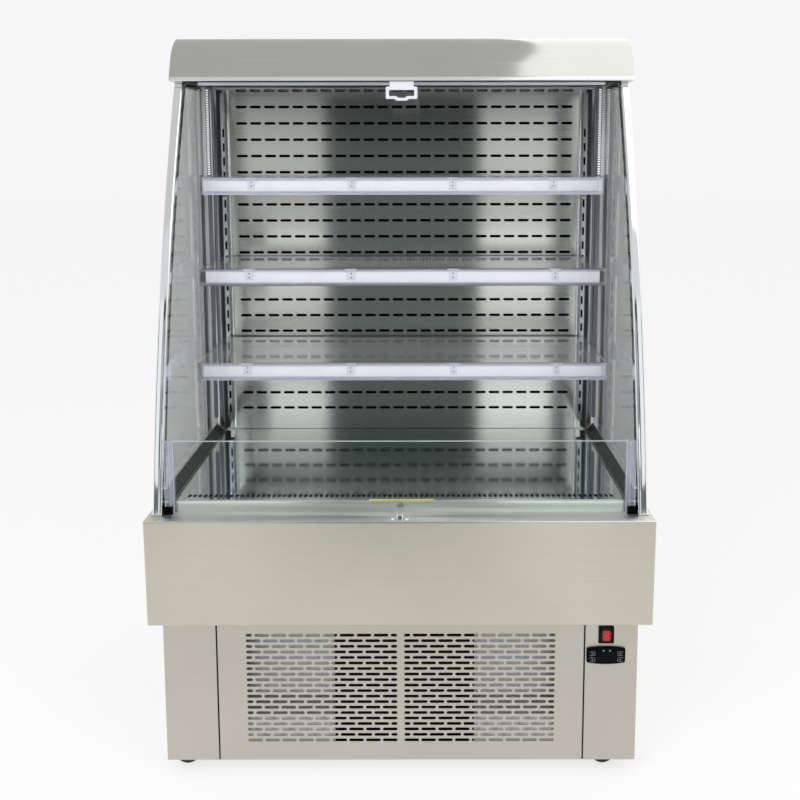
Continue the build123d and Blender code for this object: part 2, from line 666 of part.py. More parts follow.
def canopy_section(inset):
    """Area under the canopy's skin, from the lip over the rounded front to the rear fold."""
    lean = math.radians(CANOPY_LEAN)
    lip = CANOPY_LIP + inset / math.cos(lean)
    top = CANOPY_TOP - inset
    corner = lip + (top - CANOPY_BOTTOM) * math.tan(lean)
    rear = CASE_DEPTH - inset
    path = FilletPolyline((lip, CANOPY_BOTTOM), (corner, top), (rear, top), radius=CANOPY_RADIUS - inset)
    closing = Polyline((rear, top), (rear, CANOPY_BOTTOM), (lip, CANOPY_BOTTOM))
    return make_face([*path.edges(), closing])


def canopy_cover():
    """One rounded sheet with a hem under its lip and a short fold down the back."""
    skin = canopy_section(0) - canopy_section(CANOPY_SHEET)
    lip = CANOPY_LIP + CANOPY_SHEET / 2
    skin += outline([(lip, CANOPY_BOTTOM), (lip + CANOPY_HEM, CANOPY_BOTTOM),
                     (lip + CANOPY_HEM, CANOPY_BOTTOM + CANOPY_SHEET), (lip, CANOPY_BOTTOM + CANOPY_SHEET)])
    cover = across(skin, -HALF_WIDTH, HALF_WIDTH)
    fold = CANOPY_TOP - CANOPY_REAR_FOLD
    return cover - block(-CASE_WIDTH, CASE_WIDTH, BACK_FOAM, CASE_DEPTH + CUT,
                         CANOPY_BOTTOM - CUT, fold)


def canopy_cheek():
    """Right-hand end of the canopy, which bears on the side frame and holds the curtain roller."""
    cheek = across(canopy_section(CANOPY_SHEET), CHEEK_IN, HALF_WIDTH)
    hem = CANOPY_LIP + CANOPY_HEM + 2 * CANOPY_SHEET
    cheek -= block(0, CASE_WIDTH, CANOPY_LIP, hem, CANOPY_BOTTOM, CANOPY_BOTTOM + CANOPY_SHEET)
    socket_end = CHEEK_IN + ROLLER_PIN_REACH + CUT
    return cheek - rod_x(ROLLER_PIN + RUNNING_GAP, CHEEK_IN - CUT, socket_end, ROLLER_Y, ROLLER_Z)


def insulated_back():
    """Foamed rear wall and roof in one piece."""
    rear = CASE_DEPTH - CANOPY_SHEET
    top = CANOPY_TOP - CANOPY_SHEET
    section = outline([(BACK_FOAM, TUB_TOP), (rear, TUB_TOP), (rear, top), (ROOF_FOAM, top),
                       (ROOF_FOAM, ROOF_FOAM_BOTTOM), (BACK_FOAM, ROOF_FOAM_BOTTOM)])
    wall = across(section, -CHEEK_IN, CHEEK_IN)
    for side in (-1, 1):
        wall += block(side * CHEEK_IN, side * FRAME_OUT, BACK_FOAM, rear, TUB_TOP, CANOPY_BOTTOM)
    return wall


def back_panel():
    """Sheet that closes the air duct, with a fold along its top and its foot."""
    foot = DECK_TOP + CLEARANCE
    line = [(BACK_PANEL + BACK_PANEL_FOLD, BACK_PANEL_TOP), (BACK_PANEL, BACK_PANEL_TOP),
            (BACK_PANEL, foot), (BACK_PANEL + BACK_PANEL_FOLD, foot)]
    half = CHEEK_IN - POST_FLANGE
    return across(bent_strip(line, SHEET), -half, half)


def air_outlet_grille():
    """Frame of straightening cells that blows the air curtain down the front."""
    rear = OUTLET_FRONT + OUTLET_DEPTH
    frame = block(-CHEEK_IN, CHEEK_IN, OUTLET_FRONT, rear,
                  ROOF_FOAM_BOTTOM, ROOF_FOAM_BOTTOM + OUTLET_HEIGHT)
    pitch = 2 * (CHEEK_IN - OUTLET_RIM) / OUTLET_CELLS
    cell = Box(pitch - OUTLET_WALL, OUTLET_DEPTH - 2 * OUTLET_RIM, 3 * OUTLET_HEIGHT)
    middle = Pos(0, (OUTLET_FRONT + rear) / 2, ROOF_FOAM_BOTTOM)
    return frame - middle * GridLocations(pitch, 1, OUTLET_CELLS, 1) * cell


def top_lamp():
    """Slim lamp with a bevelled lens, fixed between the canopy's cheeks."""
    lamp = block(-CHEEK_IN, CHEEK_IN, LAMP_FRONT, LAMP_FRONT + LAMP_DEPTH,
                 LAMP_BOTTOM, LAMP_BOTTOM + LAMP_HEIGHT)
    lens = lamp.edges().filter_by(Axis.X).sort_by(Axis.Z)[0:2]
    return chamfer(lens, LAMP_BEVEL)


# Shelves

def slot_heights():
    """Middles of the slots up a standard, from the top."""
    first = STANDARD_SLOT_TOP
    return [first - index * STANDARD_PITCH for index in range(STANDARD_SLOTS)]


def shelf_standard():
    """Right-hand channel of slots, screwed in front of the back panel."""
    x0, x1 = STANDARD_X - STANDARD_WIDTH / 2, STANDARD_X + STANDARD_WIDTH / 2
    line = [(x0, BACK_PANEL), (x0, STANDARD_FRONT), (x1, STANDARD_FRONT), (x1, BACK_PANEL)]
    bar = upright(bent_strip(line, STANDARD_SHEET), STANDARD_FOOT, STANDARD_TOP)
    slot = Box(STANDARD_SLOT_WIDTH, 3 * STANDARD_SHEET, STANDARD_SLOT_HEIGHT)
    return bar - [Pos(STANDARD_X, STANDARD_FRONT, z) * slot for z in slot_heights()]


def shelf(front, top):
    """Sheet shelf, folded down behind the price rail and along its rear."""
    edge, rear = front + RAIL_DEPTH, STANDARD_FRONT - SHELF_REAR_GAP
    line = [(rear, top - SHELF_REAR_FOLD), (rear, top), (edge, top), (edge, top - RAIL_HEIGHT)]
    return across(bent_strip(line, SHEET), -SHELF_HALF, SHELF_HALF)


def shelf_bracket(front, top):
    """Right-hand tapered arm with a hook in one of the standard's slots."""
    z1 = top - SHEET
    y0, y1 = front + RAIL_DEPTH + SHEET, STANDARD_FRONT - CLEARANCE
    arm = outline([(y0, z1), (y0, z1 - BRACKET_FRONT), (y0 + BRACKET_SETBACK, z1 - BRACKET_FRONT),
                   (y1, z1 - BRACKET_REAR), (y1, z1)])
    rear = STANDARD_FRONT - SHELF_REAR_GAP
    arm -= outline([(rear - SHEET, top), (rear - SHEET, top - SHELF_REAR_FOLD),
                    (rear, top - SHELF_REAR_FOLD), (rear, top)])
    reach = STANDARD_FRONT + STANDARD_SHEET + HOOK_REACH
    half = STANDARD_SLOT_HEIGHT / 2
    z = max(height for height in slot_heights() if height + half < z1)
    arm += outline([(y1, z - half + HOOK_DROP), (reach, z - half + HOOK_DROP),
                    (reach, z + half - HOOK_SLACK), (y1, z + half - HOOK_SLACK)])
    return across(arm, STANDARD_X - BRACKET_SHEET / 2, STANDARD_X + BRACKET_SHEET / 2)


def price_rail(front, top):
    """Channel along the shelf's front edge that holds price tickets."""
    line = [(front + RAIL_DEPTH, top), (front, top),
            (front, top - RAIL_HEIGHT), (front + RAIL_DEPTH, top - RAIL_HEIGHT)]
    return across(bent_strip(line, RAIL_SHEET), -RAIL_HALF, RAIL_HALF)


def rail_clips():
    """Small retaining clips along the three price rails."""
    clips = []
    for front, top in SHELVES.values():
        for index in range(CLIP_COUNT):
            x = (index - (CLIP_COUNT - 1) / 2) * CLIP_PITCH
            clips.append(block(x - CLIP_WIDTH / 2, x + CLIP_WIDTH / 2, front - CLIP_DEPTH, front,
                               top - CLIP_HEIGHT - RAIL_SHEET, top - RAIL_SHEET))
    return clips


# Front riser

def riser_glass():
    """Clear pane that stands on the lip between two posts."""
    half = FRAME_IN - CLEARANCE - RISER_POST_WIDTH + RISER_GROOVE - CLEARANCE
    return block(-half, half, RISER_FRONT, RISER_FRONT + RISER_GLASS, TUB_TOP, RISER_TOP)


def riser_post():
    """Right-hand clear post with a groove for the pane."""
    x1 = FRAME_IN - CLEARANCE
    x0 = x1 - RISER_POST_WIDTH
    middle = RISER_FRONT + RISER_GLASS / 2
    y0, y1 = middle - RISER_POST_DEPTH / 2, middle + RISER_POST_DEPTH / 2
    post = block(x0, x1, y0, y1, TUB_TOP, RISER_TOP)
    return post - block(x0 - CUT, x0 + RISER_GROOVE, RISER_FRONT - CLEARANCE,
                        RISER_FRONT + RISER_GLASS + CLEARANCE, TUB_TOP - CUT, RISER_TOP + CUT)


# Night curtain

def curtain_roller():
    """Spring roller with a pin at each end, and the cloth wound on it."""
    roller = rod_x(ROLLER_RADIUS, -ROLLER_HALF, ROLLER_HALF, ROLLER_Y, ROLLER_Z)
    pin_end = CHEEK_IN + ROLLER_PIN_REACH
    roller += rod_x(ROLLER_PIN, -pin_end, pin_end, ROLLER_Y, ROLLER_Z)
    roll = rod_x(FABRIC_ROLL_RADIUS, -FABRIC_HALF, FABRIC_HALF, ROLLER_Y, ROLLER_Z)
    return [roller, roll - rod_x(ROLLER_RADIUS, -CHEEK_IN, CHEEK_IN, ROLLER_Y, ROLLER_Z)]


def curtain_fabric():
    """The cloth between the roll and the bar, drawn tight along the way the bar slides."""
    run = Vector(CURTAIN_RUN_Y, CURTAIN_RUN_Z)
    outward = Vector(-CURTAIN_RUN_Z, CURTAIN_RUN_Y)
    bar = Vector(CURTAIN_BAR_Y, CURTAIN_BAR_Z)
    start, end = bar + run * FABRIC_START, bar + run * FABRIC_FREE
    near, far = outward * CLEARANCE, outward * (CLEARANCE + FABRIC_THICKNESS)
    corners = [start + near, end + near, end + far, start + far]
    strip = outline([(corner.X, corner.Y) for corner in corners])
    hem = Pos(CURTAIN_BAR_Y, CURTAIN_BAR_Z) * Rectangle(2 * CURTAIN_BAR_DEPTH, CURTAIN_BAR_HEIGHT)
    return across(strip - hem, -FABRIC_HALF, FABRIC_HALF)


def curtain_cassette():
    """Curved trough round the roller, open towards the shopper where the cloth comes out."""
    inner = FABRIC_ROLL_RADIUS + CASSETTE_GAP
    trough = rod_x(inner + CASSETTE_SHEET, -CHEEK_IN, CHEEK_IN, ROLLER_Y, ROLLER_Z)
    trough -= rod_x(inner, -CHEEK_IN - CUT, CHEEK_IN + CUT, ROLLER_Y, ROLLER_Z)
    reach = 3 * inner
    half_mouth = math.radians(CASSETTE_MOUTH / 2)
    aim = math.radians(CASSETTE_AIM)
    mouth = outline([(ROLLER_Y, ROLLER_Z)] + [
        (ROLLER_Y + reach * math.cos(aim + turn), ROLLER_Z + reach * math.sin(aim + turn))
        for turn in (-half_mouth, half_mouth)])
    return trough - across(mouth, -CHEEK_IN - CUT, CHEEK_IN + CUT)


def curtain_bar():
    """Rounded bar along the curtain's lower edge."""
    bar = Box(2 * CURTAIN_BAR_HALF, CURTAIN_BAR_DEPTH, CURTAIN_BAR_HEIGHT)
    bar = fillet(bar.edges().filter_by(Axis.X), CURTAIN_BAR_ROUND)
    return Pos(0, CURTAIN_BAR_Y, CURTAIN_BAR_Z) * bar


def curtain_handle():
    """Finger loop with a stepped lower edge, on a plate in front of the bar."""
    z1 = CURTAIN_BAR_Z - CURTAIN_BAR_HEIGHT / 2 + HANDLE_LAP
    z0 = z1 - HANDLE_HEIGHT
    half, step = HANDLE_WIDTH / 2, HANDLE_STEP_WIDTH / 2
    loop = outline([(-half, z1), (-half, z0), (-step, z0), (-step + HANDLE_STEP, z0 - HANDLE_STEP),
                    (step - HANDLE_STEP, z0 - HANDLE_STEP), (step, z0), (half, z0), (half, z1)])
    loop = fillet(loop.vertices().filter_by(lambda corner: abs(corner.X) > half - CUT), HANDLE_ROUND)
    inner, roof, sill = half - HANDLE_BAR, z1 - HANDLE_BAR, z0 + HANDLE_SILL
    dip = step - HANDLE_STEP
    loop -= outline([(-inner, roof), (-inner, sill), (-dip, sill), (-dip + HANDLE_STEP, sill - HANDLE_STEP),
                     (dip - HANDLE_STEP, sill - HANDLE_STEP), (dip, sill), (inner, sill), (inner, roof)])
    plate_height = CURTAIN_BAR_HEIGHT + HANDLE_LAP
    plate = Pos(0, z1 - HANDLE_LAP + plate_height / 2) * Rectangle(HANDLE_PLATE_WIDTH, plate_height)
    front = CURTAIN_BAR_Y - CURTAIN_BAR_DEPTH / 2
    return Pos(0, front, 0) * extrude(Plane.XZ * (loop + plate), HANDLE_THICKNESS)


def curtain_catch():
    """Hook on the lip for the curtain's handle, between two rubber bumpers."""
    top, face = TUB_TOP + CATCH_HEIGHT, CATCH_FRONT + CATCH_SHEET
    line = [(CATCH_FRONT - CATCH_NOSE, top), (face, top), (face, TUB_TOP),
            (CATCH_FRONT + CATCH_LENGTH, TUB_TOP)]
    hook = across(bent_strip(line, CATCH_SHEET), -CATCH_WIDTH / 2, CATCH_WIDTH / 2)
    bumpers = [rod_z(BUMPER_RADIUS, side * BUMPER_SPACING / 2, BUMPER_Y, TUB_TOP, TUB_TOP + BUMPER_HEIGHT)
               for side in (-1, 1)]
    return [hook, *bumpers]


# Switch and controller

def switch_housing():
    """Bezel and body of the mains switch, with a window for the rocker."""
    face = CABINET_SETBACK
    bezel = Box(SWITCH_WIDTH, SWITCH_BEZEL, SWITCH_HEIGHT)
    bezel = chamfer(bezel.edges().filter_by(Axis.Y), SWITCH_CORNER)
    margin = SWITCH_MARGIN + 2 * CLEARANCE
    body = Box(SWITCH_WIDTH - margin, SWITCH_BODY, SWITCH_HEIGHT - margin)
    reach = math.hypot(ROCKER_HEIGHT / 2, ROCKER_RISE) + ROCKER_GAP
    half = ROCKER_WIDTH / 2 + ROCKER_GAP
    window = block(CONTROL_X - half, CONTROL_X + half, face - SWITCH_BEZEL - CUT, face + SWITCH_BODY / 2,
                   SWITCH_Z - reach, SWITCH_Z + reach)
    pin_reach = half + ROCKER_PIN_REACH
    pivot = rod_x(ROCKER_PIN + RUNNING_GAP, CONTROL_X - pin_reach, CONTROL_X + pin_reach,
                  face + ROCKER_PIVOT, SWITCH_Z)
    housing = Pos(CONTROL_X, face - SWITCH_BEZEL / 2, SWITCH_Z) * bezel
    housing += Pos(CONTROL_X, face + SWITCH_BODY / 2, SWITCH_Z) * body
    return housing - window - pivot


def switch_rocker():
    """Rocker that stands proud at its top, on a pivot pin."""
    half, lip = ROCKER_HEIGHT / 2, -ROCKER_RISE
    dish = ThreePointArc((lip, half), (lip + ROCKER_DISH, 0), (lip, -half))
    shoulder, root = half - ROCKER_TAPER, ROCKER_ROOT
    rest = Polyline((lip, -half), (0, -shoulder), (root, -root / 2), (root, root / 2), (0, shoulder),
                    (lip, half))
    cap = across(make_face([dish, rest]), -ROCKER_WIDTH / 2, ROCKER_WIDTH / 2)
    pin_reach = ROCKER_WIDTH / 2 + ROCKER_PIN_REACH
    cap += rod_x(ROCKER_PIN, -pin_reach, pin_reach, 0, 0)
    return Pos(CONTROL_X, CABINET_SETBACK + ROCKER_PIVOT, SWITCH_Z) * Rot(ROCKER_TILT, 0, 0) * cap


def key_spots():
    """Middles of the four controller keys: left column, then right column, each from the top."""
    return [(CONTROL_X + side * KEY_SPREAD, CONTROLLER_Z + rise * KEY_PITCH / 2)
            for side in (-1, 1) for rise in (1, -1)]


def controller_housing():
    """Temperature controller: bevelled bezel, body behind the panel and pockets for the keys."""
    face = CABINET_SETBACK
    bezel = Pos(CONTROL_X, face - CONTROLLER_BEZEL / 2, CONTROLLER_Z) * Box(
        CONTROLLER_WIDTH, CONTROLLER_BEZEL, CONTROLLER_HEIGHT)
    bezel = chamfer(bezel.faces().sort_by(Axis.Y)[0].edges(), CONTROLLER_EDGE)
    width, height = CONTROLLER_BODY_WIDTH - 2 * CLEARANCE, CONTROLLER_BODY_HEIGHT - 2 * CLEARANCE
    body = block(CONTROL_X - width / 2, CONTROL_X + width / 2, face, face + CONTROLLER_BODY_DEPTH,
                 CONTROLLER_Z - height / 2, CONTROLLER_Z + height / 2)
    pocket = Box(KEY_WIDTH + 2 * KEY_GAP, 2 * KEY_POCKET, KEY_HEIGHT + 2 * KEY_GAP)
    return bezel + body - [Pos(x, face - CONTROLLER_BEZEL, z) * pocket for x, z in key_spots()]


def controller_key(x, z):
    """One push key, a little proud of the bezel."""
    y0 = CABINET_SETBACK - CONTROLLER_BEZEL - KEY_PROUD
    key = Pos(x, y0 + KEY_DEPTH / 2, z) * Box(KEY_WIDTH, KEY_DEPTH, KEY_HEIGHT)
    return chamfer(key.edges().filter_by(Axis.Y), KEY_CORNER)


# Refrigeration unit

def condenser_coil():
    """Finned block between two flanged end plates."""
    x0, x1 = COIL_X - COIL_WIDTH / 2, COIL_X + COIL_WIDTH / 2
    z0, z1 = COIL_Z - COIL_HEIGHT / 2, COIL_Z + COIL_HEIGHT / 2
    rear = COIL_FRONT + COIL_DEPTH
    coil = block(x0, x1, COIL_FRONT, rear, z0, z1)
    for x in (x0, x1 - COIL_PLATE):
        coil += block(x, x + COIL_PLATE, COIL_FRONT - COIL_PLATE_PROUD, rear,
                      z0 - COIL_PLATE_REACH, z1 + COIL_PLATE_REACH)
    return coil


def condenser_shroud():
    """Baffles beside the coil, a fan plate behind it and the struts and motor of the fan."""
    x0, x1 = COIL_X - COIL_WIDTH / 2, COIL_X + COIL_WIDTH / 2
    z0, z1 = FRAME_FLOOR + SHEET, COIL_Z + COIL_HEIGHT / 2 + COIL_PLATE_REACH
    y0 = COIL_FRONT + COIL_DEPTH
    y1 = y0 + SHROUD_DEPTH
    shroud = block(x0, x1, y0, y1, z0, z1)
    shroud -= block(x0 + SHROUD_SHEET, x1 - SHROUD_SHEET, y0 - CUT, y1 - SHROUD_SHEET,
                    z0 + SHROUD_SHEET, z1 - SHROUD_SHEET)
    shroud -= rod_y(FAN_RADIUS + FAN_TIP_GAP, COIL_X, y0 - CUT, y1 + CUT, COIL_Z)
    inner = GRILLE_HALF - BAFFLE_INSET
    front = COIL_FRONT + COIL_DEPTH / 2
    for a, b in ((x0, -inner), (x1, inner)):
        shroud += block(a, b, front, front + SHROUD_SHEET, z0, z1)
        shroud += block(a, a + math.copysign(SHROUD_SHEET, b), front, y0 + SHROUD_SHEET, z0, z1)
    motor_front = y1 + STRUT_WIDTH / 2
    shroud += rod_y(MOTOR_RADIUS, COIL_X, motor_front, motor_front + MOTOR_LENGTH, COIL_Z)
    for x in (COIL_X - MOTOR_RADIUS / 2, COIL_X + MOTOR_RADIUS / 2):
        shroud += block(x - STRUT_SHEET / 2, x + STRUT_SHEET / 2, y1, motor_front + STRUT_WIDTH, z0, z1)
    return shroud - rod_y(FAN_SHAFT + RUNNING_GAP, COIL_X, y1, motor_front + MOTOR_LENGTH / 2, COIL_Z)


def fan_rotor(tip, hub, depth, shaft_length):
    """Axial fan about Y: a hub, pitched blades that widen outwards and a shaft towards +Y."""
    rotor = rod_y(hub, 0, -depth / 2, depth / 2, 0)
    rotor += rod_y(FAN_SHAFT, 0, 0, depth / 2 + shaft_length, 0)
    narrow, wide = depth / 2, depth * BLADE_SPREAD
    root, end = hub - BLADE_ROOT_DEPTH, math.sqrt(tip ** 2 - wide ** 2)
    blade = outline([(-narrow, root), (narrow, root), (wide, end), (-wide, end)])
    blade = Rot(0, 0, BLADE_PITCH) * extrude(Plane.XZ * blade, BLADE_SHEET / 2, both=True)
    return rotor + [Rot(0, index * 360 / FAN_BLADES, 0) * blade for index in range(FAN_BLADES)]


def compressor():
    """Hermetic pot with a terminal box, on a foot plate with rubber mounts."""
    floor = FRAME_FLOOR + SHEET
    z0 = floor + COMPRESSOR_FOOT
    half_x, half_y = COMPRESSOR_BASE_WIDTH / 2, COMPRESSOR_BASE_DEPTH / 2
    pot = rod_z(COMPRESSOR_RADIUS, 0, 0, z0, z0 + COMPRESSOR_HEIGHT)
    pot = chamfer(pot.edges().sort_by(Axis.Z)[-1], COMPRESSOR_DOME)
    pot += block(-half_x, half_x, -half_y, half_y, z0, z0 + PLATE_THICKNESS)
    pot += block(COMPRESSOR_RADIUS - TUBE, COMPRESSOR_RADIUS + TERMINAL_PROUD, -TERMINAL_SIZE / 2,
                 TERMINAL_SIZE / 2, z0 + TERMINAL_SIZE, z0 + 2 * TERMINAL_SIZE)
    feet = GridLocations(COMPRESSOR_BASE_WIDTH - TUBE, COMPRESSOR_BASE_DEPTH - TUBE, 2, 2)
    pad = Box(2 * COMPRESSOR_FOOT, 2 * COMPRESSOR_FOOT, z0 - floor)
    pot += [Pos(0, 0, (floor + z0) / 2) * foot * pad for foot in feet]
    return Pos(COMPRESSOR_X, COMPRESSOR_Y, 0) * pot


def evaporator():
    """Finned coil across the well, with a fan plate and its struts in front."""
    floor, top = EVAPORATOR_FLOOR, EVAPORATOR_TOP
    half = EVAPORATOR_WIDTH / 2
    coil = block(-half, half, EVAPORATOR_FRONT, EVAPORATOR_FRONT + EVAPORATOR_DEPTH, floor, top)
    front = EVAPORATOR_FRONT - EVAPORATOR_PLATE_GAP
    middle = front + EVAPORATOR_PLATE_GAP / 2
    plate = block(-WELL_HALF, WELL_HALF, front, front + SHROUD_SHEET, floor, top)
    plate -= rod_y(EVAPORATOR_FAN_RADIUS + FAN_TIP_GAP, 0, front - CUT, middle, EVAPORATOR_FAN_Z)
    motor = rod_y(EVAPORATOR_HUB, 0, front + EVAPORATOR_PLATE_GAP / 3, EVAPORATOR_FRONT, EVAPORATOR_FAN_Z)
    for x in (-EVAPORATOR_HUB / 2, EVAPORATOR_HUB / 2):
        motor += block(x - STRUT_SHEET / 2, x + STRUT_SHEET / 2, front + SHROUD_SHEET, middle, floor, top)
    motor -= rod_y(FAN_SHAFT + RUNNING_GAP, 0, front, EVAPORATOR_FRONT + CUT, EVAPORATOR_FAN_Z)
    return [coil, plate, motor]


# Assembly

def build():
    """Every node, as a name and its list of solids."""
    nodes = {
        "base_frame": [base_frame()],
        "side_panel_left": [mirror(side_panel(), Plane.YZ)],
        "side_panel_right": [side_panel() - control_cutouts()],
        "front_grille": [front_grille()],
        "rear_grille": [rear_grille()],
        "cable_gland": [cable_gland()],
        "tub_body": [tub_body()],
        "air_return_grille": [air_return_grille()],
        "deck_pan": [deck_pan()],
        "insulated_back": [insulated_back()],
        "back_panel": [back_panel()],
        "canopy_cover": [canopy_cover()],
        "canopy_cheeks": both_sides(canopy_cheek()),
        "air_outlet_grille": [air_outlet_grille()],
        "top_lamp": [top_lamp()],
        "glass_trims": both_sides(glass_channel()) + both_sides(rear_post()),
        "led_strips": both_sides(led_strip()),
        "shelf_standards": both_sides(shelf_standard()),
        "rail_clips": rail_clips(),
        "riser_glass": [riser_glass()],
        "riser_posts": both_sides(riser_post()),
        "curtain_cassette": [curtain_cassette()],
        "curtain_roller": curtain_roller(),
        "curtain_fabric": [curtain_fabric()],
        "curtain_bar": [curtain_bar()],
        "curtain_handle": [curtain_handle()],
        "curtain_catch": curtain_catch(),
        "switch_housing": [switch_housing()],
        "switch_rocker": [switch_rocker()],
        "controller_housing": [controller_housing()],
        "condenser_coil": [condenser_coil()],
        "condenser_shroud": [condenser_shroud()],
        "compressor": [compressor()],
        "evaporator": evaporator(),
    }
    nodes["side_frame_right"] = side_frame()
    nodes["side_frame_left"] = [mirror(solid, Plane.YZ) for solid in side_frame()]
    nodes["side_glass_right"], nodes["side_glass_left"] = ([pane] for pane in both_sides(side_glass()))
    brackets = []
    for name, (front, top) in SHELVES.items():
        nodes[f"shelf_{name}"] = [shelf(front, top)]
        nodes[f"price_rail_{name}"] = [price_rail(front, top)]
        brackets += both_sides(shelf_bracket(front, top))
    nodes["shelf_brackets"] = brackets
    for index, (x, z) in enumerate(key_spots(), start=1):
        nodes[f"controller_key_{index}"] = [controller_key(x, z)]
    nodes["caster_plates"] = [caster_plate(x, y) for x, y in caster_spots()]
    for index, (x, y) in enumerate(caster_spots(), start=1):
        nodes[f"caster_fork_{index}"] = [caster_fork(x, y)]
        nodes[f"caster_wheel_{index}"] = [caster_wheel(x, y)]
    rotor = fan_rotor(FAN_RADIUS, FAN_HUB, FAN_DEPTH, MOTOR_LENGTH / 2)
    nodes["condenser_fan"] = [Pos(COIL_X, FAN_Y, COIL_Z) * rotor]
    rotor = fan_rotor(EVAPORATOR_FAN_RADIUS, EVAPORATOR_HUB, EVAPORATOR_FAN_DEPTH, EVAPORATOR_PLATE_GAP)
    nodes["evaporator_fan"] = [Pos(0, EVAPORATOR_FAN_Y, EVAPORATOR_FAN_Z) * rotor]
    return nodes


def main():
    """Write one STEP file per node, with the origin under the middle of the case."""
    os.makedirs("parts", exist_ok=True)
    for name, shapes in build().items():
        placed = [Pos(0, -CASE_DEPTH / 2, 0) * solid for shape in shapes for solid in shape.solids()]
        export_step(Compound(children=placed), f"parts/{name}.step")


main()
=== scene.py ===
"""Looks of the open-front refrigerated deli case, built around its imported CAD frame."""

import math
from collections import Counter

import bpy
import bmesh
from mathutils import Matrix, Vector
from mathutils.geometry import delaunay_2d_cdt


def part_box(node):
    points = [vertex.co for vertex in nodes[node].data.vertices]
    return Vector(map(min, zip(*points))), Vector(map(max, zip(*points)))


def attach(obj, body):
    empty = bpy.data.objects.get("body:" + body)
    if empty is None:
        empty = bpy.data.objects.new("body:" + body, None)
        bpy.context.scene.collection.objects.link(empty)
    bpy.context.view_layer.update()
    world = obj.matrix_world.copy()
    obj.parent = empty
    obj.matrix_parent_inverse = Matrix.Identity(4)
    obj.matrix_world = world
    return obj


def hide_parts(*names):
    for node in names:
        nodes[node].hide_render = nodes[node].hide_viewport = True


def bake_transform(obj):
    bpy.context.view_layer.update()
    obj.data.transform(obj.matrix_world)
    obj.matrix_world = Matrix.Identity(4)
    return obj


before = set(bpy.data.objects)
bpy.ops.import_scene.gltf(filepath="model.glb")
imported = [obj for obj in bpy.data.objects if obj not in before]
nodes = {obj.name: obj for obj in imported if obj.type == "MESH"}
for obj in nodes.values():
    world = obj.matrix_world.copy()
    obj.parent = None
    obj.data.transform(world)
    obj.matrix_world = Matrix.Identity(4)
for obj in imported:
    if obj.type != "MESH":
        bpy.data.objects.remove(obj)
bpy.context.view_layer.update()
MM = 0.001
SIDES = ((-1, "left"), (1, "right"))
TO_FRONT = Matrix.Rotation(math.pi / 2, 4, "X")

# What the CAD boxes don't give: sizes of the dressed pieces, in metres, and the steps of their curves
ARC_MIDDLE = (-0.206, 0.950)
FRAME_DEPTH = 28 * MM
FRAME_ROUND = 5.5 * MM
PANE = 4 * MM
SHEET = 1.2 * MM
ARC_STEPS = 56
SLOT_STEPS = 5


# Mesh helpers

def linked_object(name, data):
    """A new object in the scene, round a mesh, a camera or a light."""
    made = bpy.data.objects.new(name, data)
    bpy.context.scene.collection.objects.link(made)
    return made


def add_object(name, mesh, smooth_angle=None):
    """An object round a finished mesh, with its outer faces turned outwards."""
    shape = bmesh.new()
    shape.from_mesh(mesh)
    bmesh.ops.recalc_face_normals(shape, faces=shape.faces)
    shape.to_mesh(mesh)
    shape.free()
    if smooth_angle is not None:
        mesh.shade_smooth()
        mesh.set_sharp_from_angle(angle=math.radians(smooth_angle))
    return linked_object(name, mesh)


def mesh_from(name, points, faces):
    mesh = bpy.data.meshes.new(name)
    mesh.from_pydata(points, [], faces)
    mesh.update()
    return mesh


def ring_faces(rings, size, closed=False):
    """Quads between neighbouring rings of points, and end caps unless the row of rings closes."""
    faces = []
    count = rings if closed else rings - 1
    for ring in range(count):
        a, b = ring * size, (ring + 1) % rings * size
        for k in range(size):
            n = (k + 1) % size
            faces.append((a + k, a + n, b + n, b + k))
    if not closed:
        faces.append(tuple(range(size)))
        faces.append(tuple((rings - 1) * size + k for k in range(size)))
    return faces


def extruded(name, section, x0, x1, smooth_angle=None):
    """A (y, z) section carried from x0 to x1."""
    points = [(x, y, z) for x in (x0, x1) for y, z in section]
    return add_object(name, mesh_from(name, points, ring_faces(2, len(section))), smooth_angle)


def bent(points, thickness):
    """The section of a sheet bent along the points, with its thickness on their left."""
    corners = [Vector(p) for p in points]
    normals = []
    for a, b in zip(corners, corners[1:]):
        run = (b - a).normalized()
        normals.append(Vector((-run.y, run.x)))
    shifted = []
    for i, corner in enumerate(corners):
        before, after = normals[max(i - 1, 0)], normals[min(i, len(normals) - 1)]
        shifted.append(corner + (before + after) * (thickness / (1 + before.dot(after))))
    return [tuple(p) for p in corners] + [tuple(p) for p in reversed(shifted)]


def block(name, low, high, bevel=0.0, segments=2):
    """A box with rounded edges."""
    shape = bmesh.new()
    bmesh.ops.create_cube(shape, size=1)
    size = Vector(high) - Vector(low)
    middle = (Vector(high) + Vector(low)) / 2
    bmesh.ops.transform(shape, matrix=Matrix.Translation(middle) @ Matrix.Diagonal((*size, 1)),
                        verts=shape.verts)
    if bevel:
        bmesh.ops.bevel(shape, geom=shape.edges, offset=bevel, segments=segments, affect="EDGES",
                        profile=0.5)
    mesh = bpy.data.meshes.new(name)
    shape.to_mesh(mesh)
    shape.free()
    return add_object(name, mesh, 40 if bevel else None)


def side_block(name, side, x, y, z, bevel=0.0):
    """A box on one side of the case, from its ranges on the right-hand side."""
    x0, x1 = sorted((side * x[0], side * x[1]))
    return block(name, (x0, y[0], z[0]), (x1, y[1], z[1]), bevel)


def joined(name, pieces):
    """One object from several, under the first one's material."""
    meshes = [piece.data for piece in pieces]
    shape = bmesh.new()
    for mesh in meshes:
        shape.from_mesh(mesh)
    mesh = bpy.data.meshes.new(name)
    shape.to_mesh(mesh)
    shape.free()
    for piece in pieces:
        bpy.data.objects.remove(piece)
    for old in meshes:
        bpy.data.meshes.remove(old)
    return linked_object(name, mesh)


